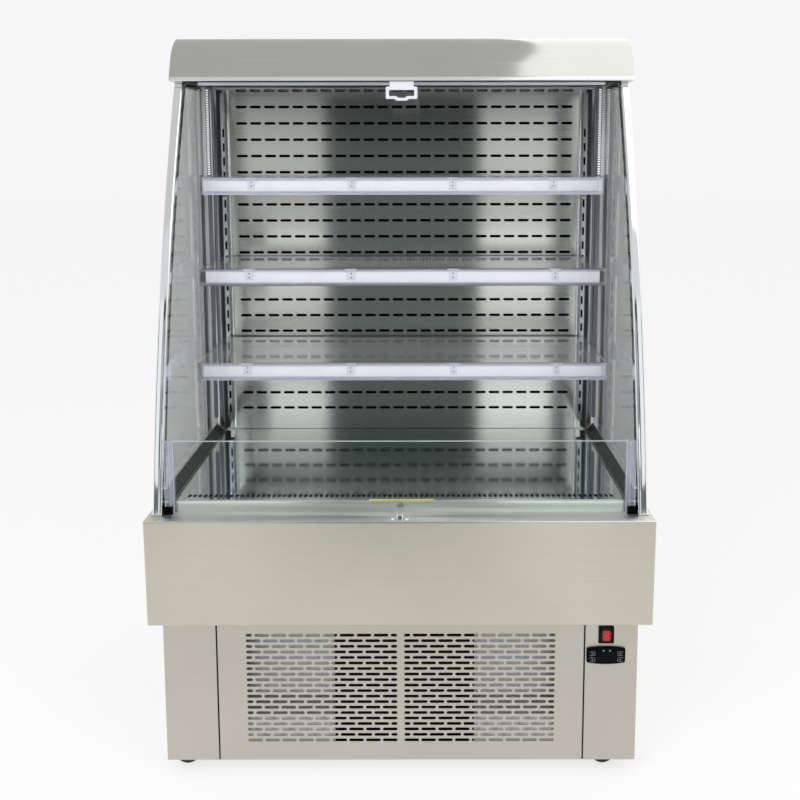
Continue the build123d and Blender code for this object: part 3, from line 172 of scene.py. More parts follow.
def rounded_slot(x, z, width, height, steps=SLOT_STEPS):
    """Outline of a slot with round ends."""
    radius = height / 2
    points = []
    for side in (1, -1):
        for k in range(steps + 1):
            turn = math.pi * (k / steps - 0.5)
            points.append((x + side * (width / 2 - radius + radius * math.cos(turn)),
                           z + side * radius * math.sin(turn)))
    return points


def square_slot(x, z, width, height):
    return [(x - width / 2, z - height / 2), (x + width / 2, z - height / 2),
            (x + width / 2, z + height / 2), (x - width / 2, z + height / 2)]


def pierced_sheet(name, border, holes, thickness, place):
    """A flat sheet with real holes, each a convex loop. place turns (u, v, depth) into a point."""
    flat, edges, loop_of = [], [], []
    for number, loop in enumerate([border, *holes]):
        start = len(flat)
        flat += [Vector(p) for p in loop]
        loop_of += [number] * len(loop)
        edges += [(start + k, start + (k + 1) % len(loop)) for k in range(len(loop))]
    verts, _, triangles, origins = delaunay_2d_cdt(flat, edges, [], 1, 1e-7, True)[:4]
    owner = [loop_of[found[0]] for found in origins]
    faces = [f for f in triangles if owner[f[0]] == 0 or len({owner[i] for i in f}) > 1]
    count = len(verts)
    points = [place(v.x, v.y, 0.0) for v in verts] + [place(v.x, v.y, thickness) for v in verts]
    solid = [tuple(f) for f in faces] + [tuple(i + count for i in reversed(f)) for f in faces]
    sides = [(a, b) for f in faces for a, b in zip(f, [*f[1:], f[0]])]
    used = Counter(frozenset(side) for side in sides)
    solid += [(b, a, a + count, b + count) for a, b in sides if used[frozenset((a, b))] == 1]
    return add_object(name, mesh_from(name, points, solid))


def on_y(y):
    """Places a sheet's (u, v) on x and z at depth y, with its thickness towards the back."""
    return lambda u, v, depth: (u, y + depth, v)


def on_z(z):
    """Places a sheet's (u, v) on x and y at height z, with its thickness downwards."""
    return lambda u, v, depth: (u, v, z - depth)


def rectangle(x0, x1, z0, z1):
    return [(x0, z0), (x1, z0), (x1, z1), (x0, z1)]


def front_sheet(low, high, holes, thickness=SHEET):
    """A sheet with holes over the front of a box."""
    return pierced_sheet("sheet", rectangle(low.x, high.x, low.z, high.z), holes, thickness, on_y(low.y))


def turned(name, profile, matrix, steps=32):
    """A profile of (radius, height) in millimetres, turned round Z and then placed by matrix."""
    points = []
    for radius, height in profile:
        for k in range(steps):
            turn = 2 * math.pi * k / steps
            points.append(matrix @ (Vector((radius * math.cos(turn), radius * math.sin(turn), height)) * MM))
    mesh = mesh_from(name, points, ring_faces(len(profile), steps)[:-2])
    shape = bmesh.new()
    shape.from_mesh(mesh)
    bmesh.ops.remove_doubles(shape, verts=shape.verts, dist=1e-7)
    shape.to_mesh(mesh)
    shape.free()
    return add_object(name, mesh, 35)


# Materials

def add_node(tree, kind, **settings):
    """A shader node with its properties and its inputs' plain values set by name."""
    made = tree.nodes.new(kind)
    for name, value in settings.items():
        if hasattr(made, name):
            setattr(made, name, value)
        else:
            made.inputs[name.replace("_", " ")].default_value = value
    return made


def new_material(name, color, **sockets):
    """A Principled material, with plain values for its shader's sockets."""
    material = bpy.data.materials.new(name)
    material.use_nodes = True
    shader = material.node_tree.nodes["Principled BSDF"]
    shader.inputs["Base Color"].default_value = (*color, 1)
    for socket, value in sockets.items():
        shader.inputs[socket.replace("_", " ").title().replace("Ior", "IOR")].default_value = value
    return material, material.node_tree, shader


def stretched_noise(tree, scale, detail=3.0, size=1.0, roughness=0.6):
    """Noise in the piece's own frame, with its own scale along x, y and z."""
    coordinates = add_node(tree, "ShaderNodeTexCoord")
    mapping = add_node(tree, "ShaderNodeMapping", Scale=scale)
    noise = add_node(tree, "ShaderNodeTexNoise", Scale=size, Detail=detail, Roughness=roughness)
    tree.links.new(coordinates.outputs["Object"], mapping.inputs["Vector"])
    tree.links.new(mapping.outputs["Vector"], noise.inputs["Vector"])
    return noise.outputs["Fac"]


def ranged(tree, value, low, high, start=0.3, end=0.7):
    """value's middle range carried to low..high."""
    result = add_node(tree, "ShaderNodeMapRange")
    result.inputs["From Min"].default_value = start
    result.inputs["From Max"].default_value = end
    result.inputs["To Min"].default_value = low
    result.inputs["To Max"].default_value = high
    tree.links.new(value, result.inputs["Value"])
    return result.outputs["Result"]


def mixed_color(tree, factor, first, second):
    mix = add_node(tree, "ShaderNodeMix", data_type="RGBA")
    tree.links.new(factor, mix.inputs["Factor"])
    for socket, color in (("A", first), ("B", second)):
        target = [i for i in mix.inputs if i.name == socket and i.type == "RGBA"][0]
        if isinstance(color, tuple):
            target.default_value = (*color, 1)
        else:
            tree.links.new(color, target)
    return [o for o in mix.outputs if o.type == "RGBA"][0]


def bump(tree, shader, height, distance, strength=1.0):
    made = add_node(tree, "ShaderNodeBump", Distance=distance, Strength=strength)
    tree.links.new(height, made.inputs["Height"])
    tree.links.new(made.outputs["Normal"], shader.inputs["Normal"])


def shaded(color, share):
    return tuple(c * share for c in color)


# The grain's scale along x, y and z: on upright sheets, on level ones, and on bent ones
GRAIN_UPRIGHT = (4.0, 4.0, 1400.0)
GRAIN_FLAT = (4.0, 1400.0, 4.0)
GRAIN_BENT = (4.0, 900.0, 900.0)


def brushed_metal(name, color, rough, grain, spread=0.06, smudge=0.06, metallic=1.0, aniso=0.6):
    """Sheet metal with a fine directional grain and faint handling marks."""
    material, tree, shader = new_material(name, color, metallic=metallic, anisotropic=aniso,
                                          anisotropic_rotation=0.25)
    axis = "Y" if grain == GRAIN_FLAT else "Z"
    tangent = add_node(tree, "ShaderNodeTangent", direction_type="RADIAL", axis=axis)
    tree.links.new(tangent.outputs["Tangent"], shader.inputs["Tangent"])
    streaks = stretched_noise(tree, grain, detail=4.0)
    marks = stretched_noise(tree, (3.0, 3.0, 3.0), detail=6.0)
    toned = mixed_color(tree, ranged(tree, streaks, 0, 1), shaded(color, 1 - spread),
                        shaded(color, 1 + spread))
    toned = mixed_color(tree, ranged(tree, marks, 0, 0.35), toned, shaded(color, 1 - 2 * smudge))
    tree.links.new(toned, shader.inputs["Base Color"])
    roughness = add_node(tree, "ShaderNodeMath", operation="ADD")
    tree.links.new(ranged(tree, streaks, rough * 0.85, rough * 1.15), roughness.inputs[0])
    tree.links.new(ranged(tree, marks, -smudge * rough, smudge * rough), roughness.inputs[1])
    tree.links.new(roughness.outputs["Value"], shader.inputs["Roughness"])
    bump(tree, shader, streaks, 0.02 * MM, 0.5)
    return material


def moulded_plastic(name, color, rough=0.35, variation=0.04, grain=900.0, depth=0.02, **sockets):
    """Plastic or paint with a fine moulded texture and slight unevenness in gloss."""
    material, tree, shader = new_material(name, color, **sockets)
    texture = stretched_noise(tree, (grain, grain, grain), detail=2.0)
    marks = stretched_noise(tree, (14.0, 14.0, 14.0), detail=5.0)
    toned = mixed_color(tree, ranged(tree, marks, 0, 1), shaded(color, 1 - variation),
                        tuple(min(1.0, c) for c in shaded(color, 1 + variation)))
    tree.links.new(toned, shader.inputs["Base Color"])
    tree.links.new(ranged(tree, marks, rough * 0.85, rough * 1.15), shader.inputs["Roughness"])
    bump(tree, shader, texture, depth * MM, 0.4)
    return material


def mottle(tree, marks, color, share, socket):
    """Takes a colour down to a share of itself where the marks are low."""
    tree.links.new(mixed_color(tree, ranged(tree, marks, 0, 1), shaded(color, share), color), socket)


def sheet_glass(name, color, rough=0.02, transmission=1.0, wave=0.01):
    """Clear or tinted glass with faint waviness."""
    material, tree, shader = new_material(name, color, transmission_weight=transmission, ior=1.45)
    marks = stretched_noise(tree, (9.0, 9.0, 9.0), detail=3.0)
    tree.links.new(ranged(tree, marks, rough * 0.5, rough * 2), shader.inputs["Roughness"])
    mottle(tree, marks, color, 0.97, shader.inputs["Base Color"])
    bump(tree, shader, marks, wave * MM, 0.3)
    return material


def thin_glass(name, color, alpha, rough=0.02):
    """A pane seen nearly straight through, with faint smears."""
    material, tree, shader = new_material(name, color, alpha=alpha)
    marks = stretched_noise(tree, (9.0, 9.0, 9.0), detail=4.0)
    tree.links.new(ranged(tree, marks, rough * 0.5, rough * 3), shader.inputs["Roughness"])
    mottle(tree, marks, color, 0.94, shader.inputs["Base Color"])
    return material


def boot_plastic(name):
    """Clear soft plastic that mostly shows highlights."""
    material, tree, shader = new_material(name, (0.5, 0.5, 0.5), alpha=0.035, specular_ior_level=1.0)
    marks = stretched_noise(tree, (160.0, 160.0, 160.0), detail=3.0)
    tree.links.new(ranged(tree, marks, 0.02, 0.12), shader.inputs["Roughness"])
    bump(tree, shader, marks, 0.6 * MM, 0.8)
    return material


def glowing(name, color, strength, rough=0.4):
    """A lit diffuser with faint unevenness."""
    material, tree, shader = new_material(name, color, roughness=rough, emission_strength=strength)
    marks = stretched_noise(tree, (60.0, 60.0, 60.0))
    mottle(tree, marks, color, 0.92, shader.inputs["Emission Color"])
    return material


def make_finishes():
    """One material for each of the record's slots, then those for the scene's own pieces."""
    made = [
        brushed_metal("tub_steel", (0.64, 0.61, 0.52), 0.34, GRAIN_UPRIGHT),
        brushed_metal("brushed_steel", (0.60, 0.57, 0.50), 0.36, GRAIN_UPRIGHT),
        brushed_metal("outer_steel", (0.62, 0.62, 0.60), 0.45, GRAIN_UPRIGHT),
        brushed_metal("canopy_steel", (0.60, 0.60, 0.58), 0.10, GRAIN_BENT, spread=0.05, aniso=0.85),
        brushed_metal("duct_steel", (0.76, 0.77, 0.735), 0.13, GRAIN_BENT, aniso=0.8),
        brushed_metal("mirror_steel", (0.80, 0.88, 0.86), 0.05, GRAIN_FLAT, spread=0.03),
        brushed_metal("shelf_steel", (0.96, 0.97, 0.98), 0.07, (70.0, 330.0, 70.0), spread=0.05,
                      metallic=0.82, aniso=0.0),
        brushed_metal("bracket_steel", (0.56, 0.60, 0.63), 0.20, GRAIN_UPRIGHT),
        brushed_metal("polished_steel", (0.90, 0.92, 0.94), 0.07, GRAIN_FLAT, spread=0.01,
                      smudge=0.03, aniso=0.0),
        brushed_metal("galvanised_steel", (0.68, 0.70, 0.73), 0.45, (60.0, 60.0, 60.0), spread=0.14,
                      aniso=0.0),
        brushed_metal("aluminium_trim", (0.60, 0.64, 0.63), 0.22, GRAIN_BENT),
        moulded_plastic("bar_aluminium", (0.62, 0.66, 0.74), 0.30, metallic=0.4),
        brushed_metal("roller_aluminium", (0.62, 0.63, 0.64), 0.35, GRAIN_BENT),
        brushed_metal("coil_aluminium", (0.03, 0.03, 0.03), 0.6, (900.0, 4.0, 4.0), spread=0.7),
        thin_glass("clear_glass", (0.10, 0.16, 0.16), 0.035),
        sheet_glass("clear_plastic", (0.87, 0.89, 0.95), 0.05, 0.85),
        moulded_plastic("white_plastic", (0.82, 0.84, 0.90)),
        moulded_plastic("grey_plastic", (0.20, 0.21, 0.21), 0.5),
        brushed_metal("cheek_plastic", (0.60, 0.60, 0.57), 0.35, GRAIN_UPRIGHT),
        moulded_plastic("black_plastic", (0.004, 0.005, 0.006), 0.30, specular_ior_level=0.08),
        moulded_plastic("key_plastic", (0.006, 0.008, 0.009), 0.40, specular_ior_level=0.12),
        moulded_plastic("red_plastic", (0.62, 0.004, 0.004), 0.25, specular_ior_level=0.12),
        moulded_plastic("fan_plastic", (0.03, 0.03, 0.032), 0.45),
        moulded_plastic("lamp_lens", (0.72, 0.76, 0.80), 0.25),
        moulded_plastic("compressor_paint", (0.02, 0.02, 0.022), 0.35, grain=300.0),
        moulded_plastic("caster_tyre", (0.03, 0.03, 0.03), 0.6, grain=500.0),
        moulded_plastic("curtain_cloth", (0.34, 0.35, 0.37), 0.6, grain=1500.0),
        sheet_glass("side_glass", (0.98, 1.0, 1.0), 0.012),
        # Dark rubber for the seals, also the painted shadow strip beside each standard
        moulded_plastic("rubber_seal_and_painted_shadow", (0.025, 0.027, 0.03), 0.55, grain=400.0),
        moulded_plastic("yellow_strip", (0.95, 0.80, 0.14), 0.4),
        glowing("led_dots", (1.0, 1.0, 0.95), 0.8),
        moulded_plastic("tape_grey", (0.24, 0.25, 0.31), 0.35),
        moulded_plastic("edge_white", (0.93, 0.95, 0.96), 0.3),
        # Near black: painted shade behind slots, in seams and over the base rail, and the riser posts' dark
        # feet
        moulded_plastic("black_foot_and_painted_shade", (0.002, 0.002, 0.002), 0.8, specular_ior_level=0.05),
        moulded_plastic("black_gloss", (0.002, 0.003, 0.004), 0.35, specular_ior_level=0.04),
        moulded_plastic("window_black", (0.003, 0.004, 0.007), 0.08, specular_ior_level=0.06),
        moulded_plastic("dot_grey", (0.22, 0.24, 0.24), 0.4),
        boot_plastic("boot_clear"),
        # A brighter copy of the canopy steel: painted highlight on the hem
        brushed_metal("painted_highlight_hem_steel", (0.92, 0.92, 0.90), 0.18, GRAIN_BENT, spread=0.02),
        # A brighter copy of the tub steel: painted light on the lip's top
        brushed_metal("painted_light_lip_steel", (0.80, 0.83, 0.80), 0.52, GRAIN_UPRIGHT, spread=0.03),
        brushed_metal("face_steel", (0.86, 0.91, 0.89), 0.14, GRAIN_UPRIGHT, spread=0.03),
        # Bright steel for painted highlight lines along edges
        brushed_metal("painted_highlight_steel", (0.94, 0.94, 0.92), 0.25, GRAIN_BENT, spread=0.02),
        moulded_plastic("clip_plastic", (0.68, 0.70, 0.79), 0.3),
        thin_glass("post_plastic", (0.56, 0.61, 0.72), 0.22, 0.06),
        thin_glass("edge_lilac", (0.78, 0.82, 0.94), 0.36, 0.1),
        brushed_metal("channel_grey", (0.15, 0.16, 0.155), 0.28, GRAIN_FLAT, spread=0.05),
        # Paler, less clear glass: painted highlight on the riser pane's top edge
        thin_glass("pane_edge", (0.70, 0.80, 0.80), 0.42, 0.1),
    ]
    # A name that a carried-over material already has gets a number behind a dot
    return {material.name.split(".")[0]: material for material in made}


finishes = make_finishes()


def finish_piece(piece, finish, body="root", replaces=()):
    """Gives a piece its material and its body, and hides the CAD parts that it replaces."""
    piece.data.materials.clear()
    piece.data.materials.append(finishes[finish])
    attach(piece, body)
    if replaces:
        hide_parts(*replaces)


def finish_cad_nodes():
    """Every carried-over CAD node takes the material of its own slot."""
    for node in nodes.values():
        for place in node.material_slots:
            place.material = finishes[place.material.name.split(".")[0]]


# Side frames and side glass

def arc_points(low, middle, high, steps=ARC_STEPS):
    """Points (y, z) of the circle through three of its points, from the first to the last."""
    (ax, ay), (bx, by), (cx, cy) = low, middle, high
    d = 2 * (ax * (by - cy) + bx * (cy - ay) + cx * (ay - by))
    a2, b2, c2 = ax * ax + ay * ay, bx * bx + by * by, cx * cx + cy * cy
    ux = (a2 * (by - cy) + b2 * (cy - ay) + c2 * (ay - by)) / d
    uy = (a2 * (cx - bx) + b2 * (ax - cx) + c2 * (bx - ax)) / d
    first = math.atan2(ay - uy, ax - ux)
    last = math.atan2(cy - uy, cx - ux)
    turn = (last - first + math.pi) % (2 * math.pi) - math.pi
    radius = math.hypot(ax - ux, ay - uy)
    return [(ux + radius * math.cos(first + turn * k / steps),
             uy + radius * math.sin(first + turn * k / steps)) for k in range(steps + 1)]


def frame_arc():
    """The curve of the frames' front face, from the tub to the canopy."""
    head_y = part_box("side_frame_right")[1].y
    low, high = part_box("side_glass_right")
    return arc_points((low.y - FRAME_DEPTH, low.z), ARC_MIDDLE, (head_y - FRAME_DEPTH, high.z))


def round_profile(width, depth, radius, steps=5):
    """A tube's section with its two front corners rounded; depth grows to the back."""
    points = []
    for side in (-1, 1):
        for k in range(steps + 1):
            turn = math.pi / 2 * (k / steps if side < 0 else 1 - k / steps)
            points.append((side * (width / 2 - radius + radius * math.cos(turn)),
                           radius - radius * math.sin(turn)))
    return points + [(width / 2, depth), (-width / 2, depth)]


def make_side_frame(side, name):
    """Polished tube with rounded front edges, in one smooth sweep, and the cap at its foot."""
    arc = frame_arc()
    foot_y, foot_z = arc[0]
    cap_height, cap_proud, width = 3 * MM, 1.5 * MM, 20 * MM
    cap_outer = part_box("side_frame_right")[1].x
    outer = cap_outer - cap_proud
    middle = side * (outer - width / 2)
    profile = round_profile(width, FRAME_DEPTH, FRAME_ROUND)
    points = []
    for y, z in arc:
        points += [(middle + x, y + depth, max(z, foot_z + cap_height)) for x, depth in profile]
    mesh = mesh_from("tube", points, ring_faces(len(arc), len(profile)))
    tube = add_object(f"side_frame_tube_{name}", mesh, 35)
    finish_piece(tube, "polished_steel", replaces=[f"side_frame_{name}"])
    cap = side_block(f"side_frame_cap_{name}", side, (outer - width, cap_outer),
                     (foot_y - cap_proud, foot_y + FRAME_DEPTH - 0.3 * MM), (foot_z, foot_z + cap_height),
                     0.8 * MM)
    finish_piece(cap, "polished_steel", replaces=[f"side_frame_{name}"])


def pane_outline(inset):
    """The side glass's outline, set in from its edges."""
    low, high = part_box("side_glass_right")
    arc = [(y + FRAME_DEPTH + inset, z) for y, z in frame_arc()]
    arc = [(y, min(max(z, low.z + inset), high.z - inset)) for y, z in arc]
    return arc + [(high.y - inset, high.z - inset), (high.y - inset, low.z + inset)]


def make_side_glass(side, name):
    """Two panes with a spacer round their edge, and a white cap on the rear edge."""
    node = f"side_glass_{name}"
    low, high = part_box("side_glass_right")
    inner, outer, step = side * low.x, side * high.x, side * PANE
    for label, x0, x1 in (("inner", inner, inner + step), ("outer", outer - step, outer)):
        pane = extruded(f"side_pane_{label}_{name}", pane_outline(0), x0, x1)
        finish_piece(pane, "side_glass", replaces=[node])
    rim, core = pane_outline(0.5 * MM), pane_outline(9 * MM)
    near, far = inner + step, outer - step
    points = []
    for (y0, z0), (y1, z1) in zip(rim, core):
        points += [(near, y0, z0), (far, y0, z0), (far, y1, z1), (near, y1, z1)]
    spacer = add_object(f"glass_spacer_{name}",
                        mesh_from("spacer", points, ring_faces(len(rim), 4, closed=True)))
    finish_piece(spacer, "rubber_seal_and_painted_shadow", replaces=[node])
    cap = side_block(f"glass_edge_cap_{name}", side, (low.x - 0.8 * MM, low.x + 6.6 * MM),
                     (high.y - 9 * MM, high.y - 0.5 * MM), (low.z + 26 * MM, high.z + 3 * MM), 0.8 * MM)
    finish_piece(cap, "edge_white", replaces=[node])


def make_glass_channel(side, name):
    """Channel along the foot of the side glass: a grey slope with a black seat, and lips in bright steel as
    a painted highlight.
    """
    start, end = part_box("glass_trims")[0].y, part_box("back_panel")[0].y - 25 * MM
    outer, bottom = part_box("side_glass_right")[0].x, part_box("tub_body")[1].z
    inner, top = outer - 23 * MM, bottom + 25 * MM
    lip_inner, lip_bottom = outer - 6 * MM, top - 3 * MM

    def add_profile(label, finish, points):
        solid = [(side * x, y, z) for y in (start, end) for x, z in points]
        piece = add_object(f"glass_channel_{label}_{name}",
                           mesh_from(label, solid, ring_faces(2, len(points))))
        finish_piece(piece, finish, replaces=["glass_trims"])

    x0, z0 = inner + 1.2 * MM, bottom + 5 * MM
    add_profile("slope", "channel_grey", [(x0, bottom + 1 * MM), (outer, bottom + 1 * MM),
                                          (outer, lip_bottom), (lip_inner, lip_bottom), (x0, z0)])
    share, rise, lean, sink = 0.18, 0.6 * MM, 0.5 * MM, 1.5 * MM
    x1, z1 = x0 + share * (lip_inner - x0), z0 + share * (lip_bottom - z0)
    add_profile("seat", "rubber_seal_and_painted_shadow", [(x0, z0 - sink), (x1, z1), (x1 - lean, z1 + rise),
                                        (x0 - lean, z0 - sink + rise)])
    # The lips' bright steel is a painted highlight
    add_profile("lip", "painted_highlight_steel", [(outer, lip_bottom), (outer, top), (lip_inner, top),
                                      (lip_inner, lip_bottom)])
    foot = inner + 2.2 * MM
    add_profile("foot", "aluminium_trim", [(inner, bottom), (foot, bottom), (foot, bottom + 5.5 * MM),
                                           (inner, bottom + 4 * MM)])


# Riser pane and its posts

def make_riser_post(side, name):
    """Clear post with a groove for the pane, the bright edges that light catches, and a dark foot."""
    low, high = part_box("riser_posts")
    pane_low, pane_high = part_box("riser_glass")
    width, groove, slack = 19 * MM, 9 * MM, 0.3 * MM
    outer = high.x - 5 * MM
    inner = outer - width
    groove_low, groove_high = pane_low.y - slack, pane_high.y + slack
    section = [(inner, low.y), (outer, low.y), (outer, high.y), (inner, high.y), (inner, groove_high),
               (inner + groove, groove_high), (inner + groove, groove_low), (inner, groove_low)]
    points = [(side * x, y, z) for z in (low.z, high.z) for x, y in section]
    post = add_object(f"riser_post_{name}", mesh_from("post", points, ring_faces(2, len(section))))
    finish_piece(post, "post_plastic", replaces=["riser_posts"])
    wide, narrow, cap = 1.2 * MM, 0.7 * MM, 1 * MM
    edges = [side_block("edge", side, (x, x + thick), (low.y - 0.35 * MM, low.y + 0.4 * MM), (low.z, high.z))
             for x, thick in ((inner, wide), (inner + 8 * MM, narrow), (outer - wide, wide))]
    edges.append(side_block("edge", side, (inner, outer), (low.y - 0.3 * MM, low.y + 2 * MM),
                            (high.z - cap, high.z)))
    finish_piece(joined(f"riser_post_edges_{name}", edges), "edge_lilac",
                 replaces=["riser_posts"])
    foot = side_block(f"riser_post_foot_{name}", side, (high.x - 20 * MM, high.x - 1 * MM),
                      (low.y - 0.8 * MM, low.y + 6 * MM), (low.z, low.z + 17 * MM), 0.6 * MM)
    finish_piece(foot, "black_foot_and_painted_shade", replaces=["riser_posts"])


def make_riser_pane():
    """The clear pane and its polished top edge, drawn as a paler strip: a painted highlight."""
    low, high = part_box("riser_glass")
    edge_height, set_in, proud = 1.6 * MM, 9 * MM, 0.1 * MM
    # The top edge strip is paler glass: a painted highlight
    edge = block("riser_glass_edge", (low.x + set_in, low.y - proud, high.z - edge_height),
                 (high.x - set_in, high.y + proud, high.z), 0.4 * MM)
    finish_piece(edge, "pane_edge", replaces=["riser_glass"])
    pane = block("riser_pane", low, (high.x, high.y, high.z - edge_height))
    finish_piece(pane, "clear_glass", replaces=["riser_glass"])


# Back panel, its uprights and the shelves

def make_back_panel():
    """Duct panel with rows of air slots, and a black sheet of painted shade behind it."""
    low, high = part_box("back_panel")
    rows, columns = 21, 24
    pitch, row_pitch, top_row = 34.2 * MM, 39.08 * MM, 1412.6 * MM
    width, height = 27.5 * MM, 6.4 * MM
    holes = [rounded_slot((i - (columns - 1) / 2) * pitch, top_row - row * row_pitch, width, height, 3)
             for row in range(rows) for i in range(columns)]
    sheet = front_sheet(low, high, holes)
    folds = [block("fold", (low.x, low.y, z), (high.x, high.y, z + SHEET)) for z in (low.z, high.z - SHEET)]
    finish_piece(joined("back_panel_slotted", [sheet, *folds]), "duct_steel", replaces=["back_panel"])
    # A black sheet of painted shade, seen through the slots
    liner = block("duct_painted_shade", (low.x + 2 * MM, high.y + 8 * MM, low.z + 4 * MM),
                  (high.x - 2 * MM, high.y + 10 * MM, high.z - 8 * MM), 0.5 * MM)
    finish_piece(liner, "black_foot_and_painted_shade")


def make_standard(side, name):
    """Slotted upright channel with a black strip of painted shade behind its slots; beside it the panel's
    flanges, one in bright steel as a painted highlight, and a dark strip of painted shadow.
    """
    low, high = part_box("shelf_standards")
    rear, sheet = high.y, 1.5 * MM
    outer = high.x - 3 * MM
    inner = outer - 13 * MM
    left, right = sorted((side * inner, side * outer))
    count, pitch, top_slot, slot_x = 21, 33.9 * MM, 1311 * MM, (inner + outer) / 2 - 0.8 * MM
    holes = [square_slot(side * slot_x, top_slot - k * pitch, 4.8 * MM, 19 * MM) for k in range(count)]
    face = front_sheet(Vector((left, low.y, low.z)), Vector((right, high.y, high.z)), holes, sheet)
    walls = [block("wall", (x, low.y, low.z), (x + sheet, rear, high.z), 0.3 * MM)
             for x in (left, right - sheet)]
    finish_piece(joined(f"shelf_standard_{name}", [face, *walls]), "bracket_steel",
                 replaces=["shelf_standards"])
    length = (low.z - 20 * MM, high.z + 9 * MM)
    # A flange strip in bright steel: a painted highlight line
    flange = side_block(f"standard_flange_{name}", side, (high.x - 23.5 * MM, high.x - 18.5 * MM),
                        (rear - 5 * MM, rear), length, 1 * MM)
    finish_piece(flange, "painted_highlight_steel")
    seam = high.x + 7 * MM
    # A dark strip of painted shadow in the gap beside the standard
    painted_shadow = side_block(f"panel_painted_shadow_{name}", side, (seam - 13 * MM, seam),
                        (rear - 5 * MM, rear - 1 * MM), length, 1 * MM)
    finish_piece(painted_shadow, "rubber_seal_and_painted_shadow")
    panel_side = side_block(f"panel_side_{name}", side, (seam, seam + 17.5 * MM),
                            (rear - 3 * MM, rear - 1 * MM), length, 0.5 * MM)
    finish_piece(panel_side, "bracket_steel")
    # A black strip of painted shade behind the standard's slots
    back = side_block(f"standard_painted_shade_{name}", side, (inner + 2 * MM, outer - 2 * MM),
                      (rear - 4 * MM, rear - 2 * MM), (low.z + 2 * MM, high.z - 2 * MM), 0.3 * MM)
    finish_piece(back, "black_foot_and_painted_shade", replaces=["shelf_standards"])


def make_shelf(name):
    """Perforated shelf sheet with its folds, and strips along its ends in bright steel as painted
    highlights.
    """
    low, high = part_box(f"shelf_{name}")
    margin, pitch, row_pitch, length, width = 14 * MM, 15.5 * MM, 9 * MM, 11 * MM, 4 * MM
    rows = int((high.y - low.y - 2 * margin) / row_pitch)
    columns = int((high.x - low.x - 2 * margin) / pitch)
    holes = []
    for row in range(rows):
        y = (low.y + high.y) / 2 + (row - (rows - 1) / 2) * row_pitch
        count = columns - row % 2
        holes += [square_slot((i - (count - 1) / 2) * pitch, y, length, width) for i in range(count)]
    sheet = pierced_sheet("sheet", rectangle(low.x, high.x, low.y, high.y), holes, SHEET, on_z(high.z))
    under = high.z - SHEET
    front = block("fold", low, (high.x, low.y + SHEET, under))
    rear = block("fold", (low.x, high.y - SHEET, high.z - 15 * MM), (high.x, high.y, under))
    finish_piece(joined(f"shelf_{name}_perforated", [sheet, front, rear]), "shelf_steel",
                 replaces=[f"shelf_{name}"])
    # Strips of bright steel on the shelf's ends: painted highlights
    edge = 4 * MM
    edges = [block("edge", (x, low.y + 2 * MM, high.z - 2 * MM), (x + edge, high.y, high.z + 0.4 * MM),
                   0.8 * MM) for x in (low.x, high.x - edge)]
    finish_piece(joined(f"shelf_{name}_side_edges", edges), "painted_highlight_steel",
                 replaces=[f"shelf_{name}"])


def make_price_rail(name):
    """Clear channel with a white ticket strip behind its lips."""
    low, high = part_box(f"price_rail_{name}")
    wall, upper_lip, lower_lip = 1.4 * MM, 7 * MM, 30.5 * MM
    front, back, top, foot = low.y + wall, high.y - wall, high.z - wall, low.z + wall
    channel = [(front, high.z - upper_lip), (front, top), (back, top), (back, foot), (front, foot),
               (front, high.z - lower_lip)]
    rail = extruded(f"price_rail_{name}_channel", bent(channel, wall), low.x, high.x)
    finish_piece(rail, "clear_plastic", replaces=[f"price_rail_{name}"])
    ticket = block(f"price_ticket_strip_{name}", (low.x + 16 * MM, low.y + 2.2 * MM, high.z - 33 * MM),
                   (high.x - 14 * MM, low.y + 3.4 * MM, high.z - 4 * MM), 0.4 * MM)
    finish_piece(ticket, "white_plastic", replaces=[f"price_rail_{name}"])


def make_rail_clips(name):
    """Four small T-shaped clips over the ticket strip, each with two rivets."""
    low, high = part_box(f"price_rail_{name}")
    top, front, pitch, count = high.z, low.y, 223 * MM, 4
    plates, rivets = [], []
    for index in range(count):
        x = (index - (count - 1) / 2) * pitch
        plates.append(block("plate", (x - 13 * MM, front + 0.1 * MM, top - 8.4 * MM),
                            (x + 13 * MM, front + 1.3 * MM, top - 0.6 * MM), 0.4 * MM))
        plates.append(block("stem", (x - 8 * MM, front + 0.5 * MM, top - 26 * MM),
                            (x + 8 * MM, front + 1.6 * MM, top - 7 * MM), 0.4 * MM))
        rivets += [turned("rivet", [(0, 0), (1.7, 0), (1.7, 0.25), (1.2, 0.5), (0, 0.6)],
                          Matrix.Translation((x, front + 0.55 * MM, top - drop)) @ TO_FRONT, 14)
                   for drop in (11 * MM, 19.5 * MM)]
    finish_piece(joined(f"rail_clips_{name}", plates), "clip_plastic",
                 replaces=["rail_clips"])
    finish_piece(joined(f"rail_clip_rivets_{name}", rivets), "grey_plastic", replaces=["rail_clips"])


